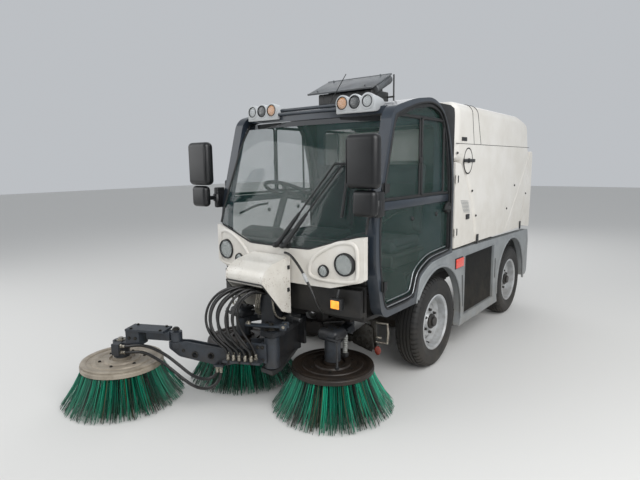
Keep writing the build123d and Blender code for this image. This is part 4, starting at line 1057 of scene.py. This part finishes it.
# The doors: a black rubber-edged frame along the whole opening, two sliding panes in thin frames over
# a slate belt, a round lock behind, and three round fixings. Thin bright strips run round the lower
# edge, over the wheel.
dress(window_rubber, "door_frame_left", "door_frame_right")
bright_strip = surface("satin_aluminium_strip", "b9bcbe", "95999b", 40, 0.3, 4, 0.1, metallic=0.8)
belt = plate([at(0.653, y, z) for y, z in ((-0.846, 1.262), (0.128, 1.262), (0.128, 1.314),
                                           (-0.848, 1.314))], (0.013, 0, 0), 0.003)
rear_pane = pipe([at(0.662, y, z) for y, z in (
    (-0.318, 1.36), (-0.318, 1.335), (-0.290, 1.333), (0.000, 1.333), (0.028, 1.335), (0.030, 1.365),
    (0.026, 1.78), (0.020, 1.838), (-0.040, 1.842), (-0.270, 1.842), (-0.316, 1.840), (-0.318, 1.80))],
    0.0085, closed=True)
front_pane = pipe([at(0.659, y, z) for y, z in (
    (-0.822, 1.36), (-0.828, 1.335), (-0.800, 1.330), (-0.380, 1.330), (-0.346, 1.333), (-0.344, 1.37),
    (-0.344, 1.80), (-0.346, 1.838), (-0.380, 1.842), (-0.655, 1.842), (-0.690, 1.830), (-0.712, 1.78))],
    0.0075, closed=True)
tracks = [block(at(0.6565, -0.838, 1.318), at(0.664, 0.122, 1.334), 0.002),
          block(at(0.6565, -0.670, 1.842), at(0.664, 0.000, 1.856), 0.002)]
catch = block(at(0.660, -0.352, 1.545), at(0.671, -0.310, 1.585), 0.004)
fixings = [turned([(0.016, -0.004), (0.016, 0.004), (0.012, 0.008), (0.006, 0.009)], at(0.6562, y, z),
                  (1, 0, 0), 20) for y, z in ((-0.672, 1.812), (-0.430, 1.180), (-0.06, 1.180))]
lock = turned([(0.040, -0.012), (0.040, 0.002), (0.036, 0.006), (0.030, 0.006), (0.028, 0.000)],
              at(0.679, 0.104, 1.215), (1, 0, 0), 32)
paddle = block(at(0.680, 0.020, 1.203), at(0.692, 0.118, 1.227), 0.005, 3)
inner_pull = pipe([at(0.636, -0.78, 1.18), at(0.625, -0.75, 1.19), at(0.622, -0.62, 1.23),
                   at(0.622, -0.50, 1.235), at(0.636, -0.47, 1.235)], 0.009)
foot_strips = [pipe([at(x, y, z) for y, z in line], 0.004) for x, line in (
    (0.6715, ((-0.790, 0.655), (-0.600, 0.655), (-0.450, 0.655), (-0.425, 0.690), (-0.385, 0.795),
              (-0.300, 0.842), (-0.186, 0.878), (0.000, 0.888), (0.135, 0.892))),
    (0.6565, ((-0.760, 0.684), (-0.600, 0.684), (-0.470, 0.684), (-0.446, 0.716), (-0.406, 0.822),
              (-0.310, 0.868), (-0.190, 0.905), (0.000, 0.915), (0.112, 0.918))))]
dark_fittings = [rear_pane, front_pane, catch, lock, paddle, inner_pull, *tracks, *fixings]
made_of(slate_paint, belt)
made_of(window_rubber, *dark_fittings)
made_of(bright_strip, *foot_strips)
pair(joined([belt, *dark_fittings, *foot_strips]), "door_fittings_{}", "door_{}", 50)

# A hollow rubber section is pushed on round each door opening of the cab's arch. The hinges have
# small black covers.
arch_rubber = pipe([at(0.6795, y, z) for y, z in (
    (-0.430, 0.638), (-0.700, 0.638), (-0.815, 0.642), (-0.850, 0.780), (-0.880, 0.930), (-0.886, 1.100),
    (-0.883, 1.240), (-0.800, 1.520), (-0.712, 1.826), (-0.690, 1.846), (-0.455, 1.919), (-0.300, 1.945),
    (-0.190, 1.953), (-0.090, 1.932), (-0.010, 1.885), (0.045, 1.810), (0.090, 1.700), (0.126, 1.560),
    (0.152, 1.400), (0.152, 1.200), (0.152, 0.930), (0.150, 0.884), (-0.100, 0.870), (-0.185, 0.860),
    (-0.290, 0.820), (-0.375, 0.785))], 0.0065, closed=True)
covers = [block(at(0.680, -0.872, z - 0.028), at(0.690, -0.862, z + 0.028), 0.002) for z in (0.80, 1.40)]
arch_trim = made_of(window_rubber, joined([arch_rubber, *covers]))
pair(arch_trim, "arch_rubber_{}", "root", 50)

# The seats: a padded cushion and back each, in dark grey woven fabric, on a moulded black base.
# The padding is crowned, pulled in along its seams, and the fabric is greyed where it is sat on.
seat_fabric, fabric_shader, fabric_place = blank_finish("dark_woven_seat_fabric")
warp, weft = [add(seat_fabric, "TexWave", {"Vector": fabric_place, "Scale": 90, "Distortion": 0.3},
                  bands_direction=way) for way in ("X", "Z")]
weave = add(seat_fabric, "Math", {0: warp.outputs[1], 1: weft.outputs[1]}, operation="MULTIPLY").outputs[0]
wear = add(seat_fabric, "TexNoise", {"Vector": fabric_place, "Scale": 6, "Detail": 5})
base_shade = add(seat_fabric, "Mix", {0: wear.outputs[0], 6: colour("2a2c30"), 7: colour("3c3f44")},
                 data_type="RGBA").outputs[2]
thread = add(seat_fabric, "Mix", {0: weave, 6: base_shade, 7: colour("17181b")}, data_type="RGBA")
fabric_bump = add(seat_fabric, "Bump", {"Height": weave, "Strength": 0.4, "Distance": 0.0008})
feed(seat_fabric, fabric_shader, {"Base Color": thread.outputs[2], "Normal": fabric_bump.outputs[0],
                                  "Roughness": 0.9})
settling_frames = 20


def cushion(low, high, push):
    """A pad between two corners, its cover inflated as cloth over the filling; push is how far."""
    inset = Vector((push, push, push))
    pad = block(Vector(low) + inset, Vector(high) - inset, 0.030, 3)
    pick([pad])
    pad.data.remesh_voxel_size = 0.0125
    bpy.ops.object.voxel_remesh()
    cloth = pad.modifiers.new("cloth", "CLOTH")
    cloth.settings.use_pressure = True
    cloth.settings.uniform_pressure_force = 4
    cloth.settings.effector_weights.gravity = 0
    cloth.settings.quality = 4
    cloth.point_cache.frame_start = 1
    cloth.point_cache.frame_end = settling_frames
    for count in range(1, settling_frames + 1):
        bpy.context.scene.frame_set(count)
    view = pad.evaluated_get(bpy.context.evaluated_depsgraph_get()).data
    moved = [vertex.co.copy() for vertex in view.vertices]
    bpy.context.scene.frame_set(1)
    pad.modifiers.remove(cloth)
    for vertex, place in zip(pad.data.vertices, moved):
        away = place - vertex.co
        if away.length > push:
            away = away.normalized() * push
        vertex.co += away
    return made_of(seat_fabric, pad)


seat_middles = (-0.330, 0.290)
bases = []
for x in seat_middles:
    bases.append(block(at(x - 0.200, -0.400, 0.802), at(x + 0.200, 0.020, 0.902), 0.020, 3))
    bases.append(block(at(x - 0.225, -0.390, 0.880), at(x + 0.225, 0.050, 0.915), 0.012, 2))
done(made_of(cab_plastic, joined(bases)), "seat_bases", "root")
x = seat_middles[0]
sit = cushion(at(x - 0.233, -0.428, 0.905), at(x + 0.233, 0.020, 1.008), 0.012)
wings = [cushion(at(x + way * 0.185 - 0.045, -0.40, 0.940), at(x + way * 0.185 + 0.045, 0.0, 1.026), 0.010)
         for way in (-1, 1)]
back = cushion((-0.226, -0.042, 0.0), (0.226, 0.042, 0.590), 0.012)
bolsters = [cushion((way * 0.180 - 0.046, -0.062, 0.04), (way * 0.180 + 0.046, 0.020, 0.46), 0.010)
            for way in (-1, 1)]
back_place = Matrix.Translation(at(x, 0.020, 0.975)) @ Matrix.Rotation(radians(-7.2), 4, "X")
for shape in [back, *bolsters]:
    shape.data.transform(back_place)
right_pad = joined([sit, back, *wings, *bolsters])
left_pad = copied(right_pad, Matrix.Translation((seat_middles[1] - seat_middles[0], 0, 0)))
for name, pad in (("right", right_pad), ("left", left_pad)):
    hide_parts("seats")
    done(pad, f"seat_{name}_padding", "root", 80)

# The skirts: grey moulded panels with a raised lip round each wheel arch, upright recesses beside a
# dark mesh grille, and an orange marker. The recesses are thin black plates, their shade painted in.
# The grey is chalky, dusty and scuffed toward the ground.
skirt_grey = surface("chalky_grey_skirt", "8a8e90", "7c8082", 120, 0.46, 3, 0.2,
                     dust=("8b8272", 0.2, 0.85, 0.4))
dress(skirt_grey, "skirts")
side_x = 0.680


def arch_lip(middle_y, middle_z, radius, first, last):
    """The rolled lip along a wheel arch, from one angle to another in degrees."""
    points = [at(side_x - 0.002, middle_y + radius * cos(radians(angle)),
                 middle_z + radius * sin(radians(angle))) for angle in range(first, last + 1, 9)]
    return pipe(points, 0.011, order=2)


lips = [arch_lip(-0.025, 0.355, 0.431, -9, 144), arch_lip(1.682, 0.370, 0.426, -9, 189)]
lips.append(pipe([at(side_x - 0.001, y, z) for y, z in ((-0.392, 0.592), (-0.352, 0.735), (-0.330, 0.765),
                                                        (-0.175, 0.834), (0.020, 0.845), (0.192, 0.852))],
                 0.008))
# Painted shade: thin black plates stand for the shade in the upright recesses.
recess_shade_plates = [plate([at(side_x - 0.0005, y, z) for y, z in line], (0.0012, 0, 0))
            for line in (((0.400, 0.640), (0.420, 0.640), (0.440, 0.372), (0.428, 0.372)),
                         ((1.190, 0.655), (1.212, 0.655), (1.212, 0.470), (1.190, 0.470)))]
grille_rim = pipe([at(side_x, y, z) for y, z in ((0.452, 0.296), (1.152, 0.296), (1.152, 0.794),
                                                 (0.452, 0.794))], 0.005, closed=True, order=2)
made_of(skirt_grey, grille_rim, *lips)
made_of(lamp_black, *recess_shade_plates)
pair(joined([*lips, grille_rim, *recess_shade_plates]), "skirt_trim_{}", "root", 60)
marker_lens = lens_material("orange_side_marker_lens", "e02e04", 0.97, 4)
marker = joined([made_of(lamp_black, block(at(0.679, 0.256, 0.712), at(0.684, 0.414, 0.798), 0.003)),
                 made_of(marker_lens, block(at(0.682, 0.262, 0.718), at(0.695, 0.408, 0.792), 0.006, 4))])
pair(marker, "side_marker_{}", "root")

# The grille: a mesh of crossed dark wires, dusty toward the ground, with a black filter mat behind
# it, set in its opening of the skirt.
mesh_steel = surface("dusty_black_mesh", "26282a", "1a1b1c", 30, 0.5, 2, 0.2,
                     dust=("6b6354", 0.25, 0.85, 0.35))
mat = made_of(lamp_black, block(at(0.641, 0.461, 0.305), at(0.655, 1.143, 0.785)))
upright = block(at(0.664, 0.4615, 0.305), at(0.667, 0.4640, 0.785))
level = block(at(0.661, 0.461, 0.3060), at(0.664, 1.143, 0.3085))
pitch = 0.0136
wires = [copied(upright, Matrix.Translation((0, pitch * k, 0))) for k in range(50)]
wires += [copied(level, Matrix.Translation((0, 0, pitch * k))) for k in range(36)]
made_of(mesh_steel, upright, level, *wires)
left_grille = joined([mat, upright, level, *wires])
right_grille = copied(left_grille, other_side)
for side, piece in (("left", left_grille), ("right", right_grille)):
    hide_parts("side_grilles")
    done(piece, f"grille_mesh_{side}", "root")

# The hopper: white panels, with a dark seam all along under the lid, two more seams over the top, a
# round recess with a bar latch, three small vents, and screws along the side. The seams and the
# recess's rim are thin dark lines, the shade in their gaps painted in.
dress(white_gelcoat, "hopper_shell", "tailgate", "hatch_left", "hatch_right")
# Painted shade: a near-black finish for the gaps of the seams and the rim of the round recess.
gap_shade_line = surface("painted_shade_seam_gap", "1c1d1f", "141516", 30, 0.7, 2, 0.1)
latch_black = surface("black_latch_moulding", "17181a", "1f2123", 30, 0.42, 2, 0.2)
lid_seam = made_of(gap_shade_line, block(at(side_x - 0.002, 0.212, 1.6875), at(side_x + 0.0008, 2.118, 1.6915)))
crease = made_of(white_gelcoat, pipe([at(side_x - 0.001, 2.120, 1.600), at(side_x - 0.001, 1.780, 1.240),
                                      at(side_x - 0.001, 1.450, 0.900)], 0.0035, order=2))
latch_place = at(side_x, 0.460, 1.558)
recess = turned([(0.096, -0.004), (0.096, 0.0015), (0.092, 0.003), (0.088, 0.0015), (0.087, -0.002),
                 (0.096, -0.004)], latch_place, (1, 0, 0), 48, hollow=True)
made_of(gap_shade_line, recess)
recess.data.transform(about(latch_place, Matrix.Diagonal((1, 0.94, 1.08, 1))))
bar_latch = joined([block(at(side_x - 0.001, 0.366, 1.547), at(side_x + 0.010, 0.588, 1.573), 0.004, 3),
                    turned([(0.018, 0), (0.018, 0.012), (0.014, 0.015)], at(side_x, 0.460, 1.560),
                           (1, 0, 0), 24)])
vents = [block(at(side_x - 0.001, y, 1.710), at(side_x + 0.003, y + 0.030, 1.740), 0.001)
         for y in (0.316, 0.352, 0.388)]
hooks = [block(at(side_x - 0.001, y, z), at(side_x + 0.008, y + 0.040, z + 0.080), 0.004)
         for y, z in ((0.690, 0.862), (1.890, 0.856))]
made_of(latch_black, bar_latch, *vents, *hooks)
screws = [bolt(at(side_x, y, z), (1, 0, 0), 0.017, latch_black)
          for y, z in ((0.561, 1.316), (0.661, 1.105), (1.675, 1.316), (1.461, 1.103), (2.066, 1.216),
                       (0.240, 1.618))]
left_details = joined([lid_seam, crease, recess, bar_latch, *vents, *hooks, *screws])
right_details = copied(left_details, other_side)
side_top, bend_rise = 1.692, 0.309
corner = [(0.6105 + 0.0705 * cos(radians(angle)), 1.930 + 0.0705 * sin(radians(angle)))
          for angle in range(0, 91, 10)]
seams = []
for foot_y, head_y in ((0.573, 0.506), (0.724, 0.613)):
    half = [(side_x + 0.0003, foot_y, side_top)]
    half += [(x, foot_y + (head_y - foot_y) * (z - side_top) / bend_rise, z) for x, z in corner]
    line = half + [(-x, y, z) for x, y, z in reversed(half)]
    seams.append(made_of(gap_shade_line, pipe([at(*place) for place in line], 0.0022, order=2)))
done(joined([left_details, right_details, *seams]), "hopper_details", "hopper", 50)

# Each hatch hangs on two black hinge leaves and shuts with a moulded latch. Above the latch a patch
# of grey slats, moulded with the panel, leans with its edge.
hatch_x = 0.6795
leaves = [block(at(hatch_x, 0.222, z - 0.027), at(0.687, 0.270, z + 0.027), 0.003) for z in (1.010, 1.420)]
latch = block(at(hatch_x, 0.440, 1.092), at(0.690, 0.505, 1.134), 0.005, 3)
slat = ((0.330, 1.252, 0.0075), (0.482, 1.240, 0.0050), (0.483, 1.236, 0.0050), (0.331, 1.248, 0.0075))
slats = [plate([at(hatch_x, y + shift * k, z - 0.0115 * k) for y, z, shift in slat], (0.003, 0, 0))
         for k in range(9)]
made_of(latch_black, latch, *leaves)
made_of(skirt_grey, *slats)
pair(joined([*leaves, latch, *slats]), "hatch_fittings_{}", "hatch_{}")

# Black rubber, cut from sheet, fills the gap between the cab's arches and the hopper, and a thick
# strip of it closes the top.
fill_line = [(-0.100, 1.962), (-0.018, 1.931), (0.050, 1.862), (0.097, 1.772), (0.150, 1.620),
             (0.188, 1.482), (0.2035, 1.482), (0.2035, 1.900), (0.190, 1.945), (0.120, 1.962)]
fill = plate([at(0.630, y, z) for y, z in fill_line], (0.040, 0, 0), 0.004)
top_fill = block(at(-0.630, 0.030, 1.945), at(0.630, 0.203, 1.972), 0.010, 3)
gap_rubber = made_of(window_rubber, joined([fill, copied(fill, other_side), top_fill]))
done(gap_rubber, "cab_gap_rubber", "root")

# The back, finished from the type: lamp clusters in the apron, a blank plate, and a lever that
# fastens the tailgate, with two rubber buffers.
clusters = []
for way in (-1, 1):
    middle = way * 0.52
    backing = block(at(middle - 0.095, 2.244, 0.500), at(middle + 0.095, 2.251, 0.610), 0.004)
    clusters.append(made_of(lamp_black, backing))
    for x, lens in ((-0.060, red_lens), (0.0, amber_lens), (0.060, clear_lens)):
        place = middle - way * x
        clusters.append(made_of(lens, block(at(place - 0.028, 2.249, 0.508), at(place + 0.028, 2.259, 0.602),
                                            0.005, 3)))
done(joined(clusters), "tail_lamps", "root")
blank_white = surface("blank_plate_enamel", "d9dad6", "cfd0cb", 90, 0.3, 3, 0.05)
blank_plate = made_of(blank_white, block(at(-0.260, 2.2455, 0.392), at(0.260, 2.2495, 0.502), 0.001))
done(blank_plate, "blank_plate", "root")
lever = pipe([at(-0.10, 2.246, 0.935), at(-0.10, 2.2545, 0.938), at(0, 2.2545, 0.940),
              at(0.10, 2.2545, 0.938), at(0.10, 2.246, 0.935)], 0.005)
buffers = [turned([(0.022, 0), (0.022, 0.006), (0.016, 0.008)], at(x, 2.250, 1.10), (0, 1, 0), 20)
           for x in (-0.50, 0.50)]
reflex = [made_of(red_lens, block(at(x - 0.045, 2.251, 1.20), at(x + 0.045, 2.258, 1.235), 0.003))
          for x in (-0.55, 0.55)]
made_of(latch_black, lever, *buffers)
done(joined([lever, *buffers, *reflex]), "tailgate_fittings", "tailgate")

# The stage: a plain pale floor, a broad soft lamp from ahead and above, two weaker ones from the other
# side and from behind, and an even pale sky.
ready()
bpy.ops.mesh.primitive_plane_add(size=60)
floor = bpy.context.object
floor.name = "floor"
floor_paint, floor_shader = blank_finish("pale_studio_floor")[:2]
feed(floor_paint, floor_shader, {"Base Color": colour("d9d8d5"), "Roughness": 0.85})
made_of(floor_paint, floor)
world = bpy.data.worlds.new("studio")
bpy.context.scene.world = world
world.use_nodes = True
feed(world, world.node_tree.nodes["Background"], {"Color": colour("e9edf2"), "Strength": 0.62})
for name, energy, place, target in [("key", 320, (4.6, -2.6, 4.4), (0, 0.2, 0.8)),
                                    ("fill", 130, (-4.5, -4.5, 3.2), (0, -0.8, 0.8)),
                                    ("back", 90, (-2.5, 5.5, 4.5), (0, 1.2, 1.0))]:
    light = bpy.data.lights.new(name, "AREA")
    light.energy = energy
    light.size = 5.0
    direction = (Vector(target) - Vector(place)).to_track_quat("-Z", "Y").to_matrix().to_4x4()
    in_scene(name, light).matrix_world = Matrix.Translation(at(*place)) @ direction

# The view: a camera at standing eye height, ahead of the machine and to its left, with a lens a
# little wider than the eye.
eye_place = (2.2122, -3.4369, 1.5491)
heading, tilt, lean = 0.66138, 0.15121, 0.01223
view = bpy.data.cameras.new("camera")
view.lens = 28.13
camera = in_scene("camera", view)
camera.matrix_world = (Matrix.Translation(at(*eye_place)) @ Matrix.Rotation(heading, 4, "Z")
                       @ Matrix.Rotation(pi / 2 - tilt, 4, "X") @ Matrix.Rotation(-lean, 4, "Z"))
bpy.context.scene.camera = camera
bpy.context.scene.view_settings.view_transform = "Standard"
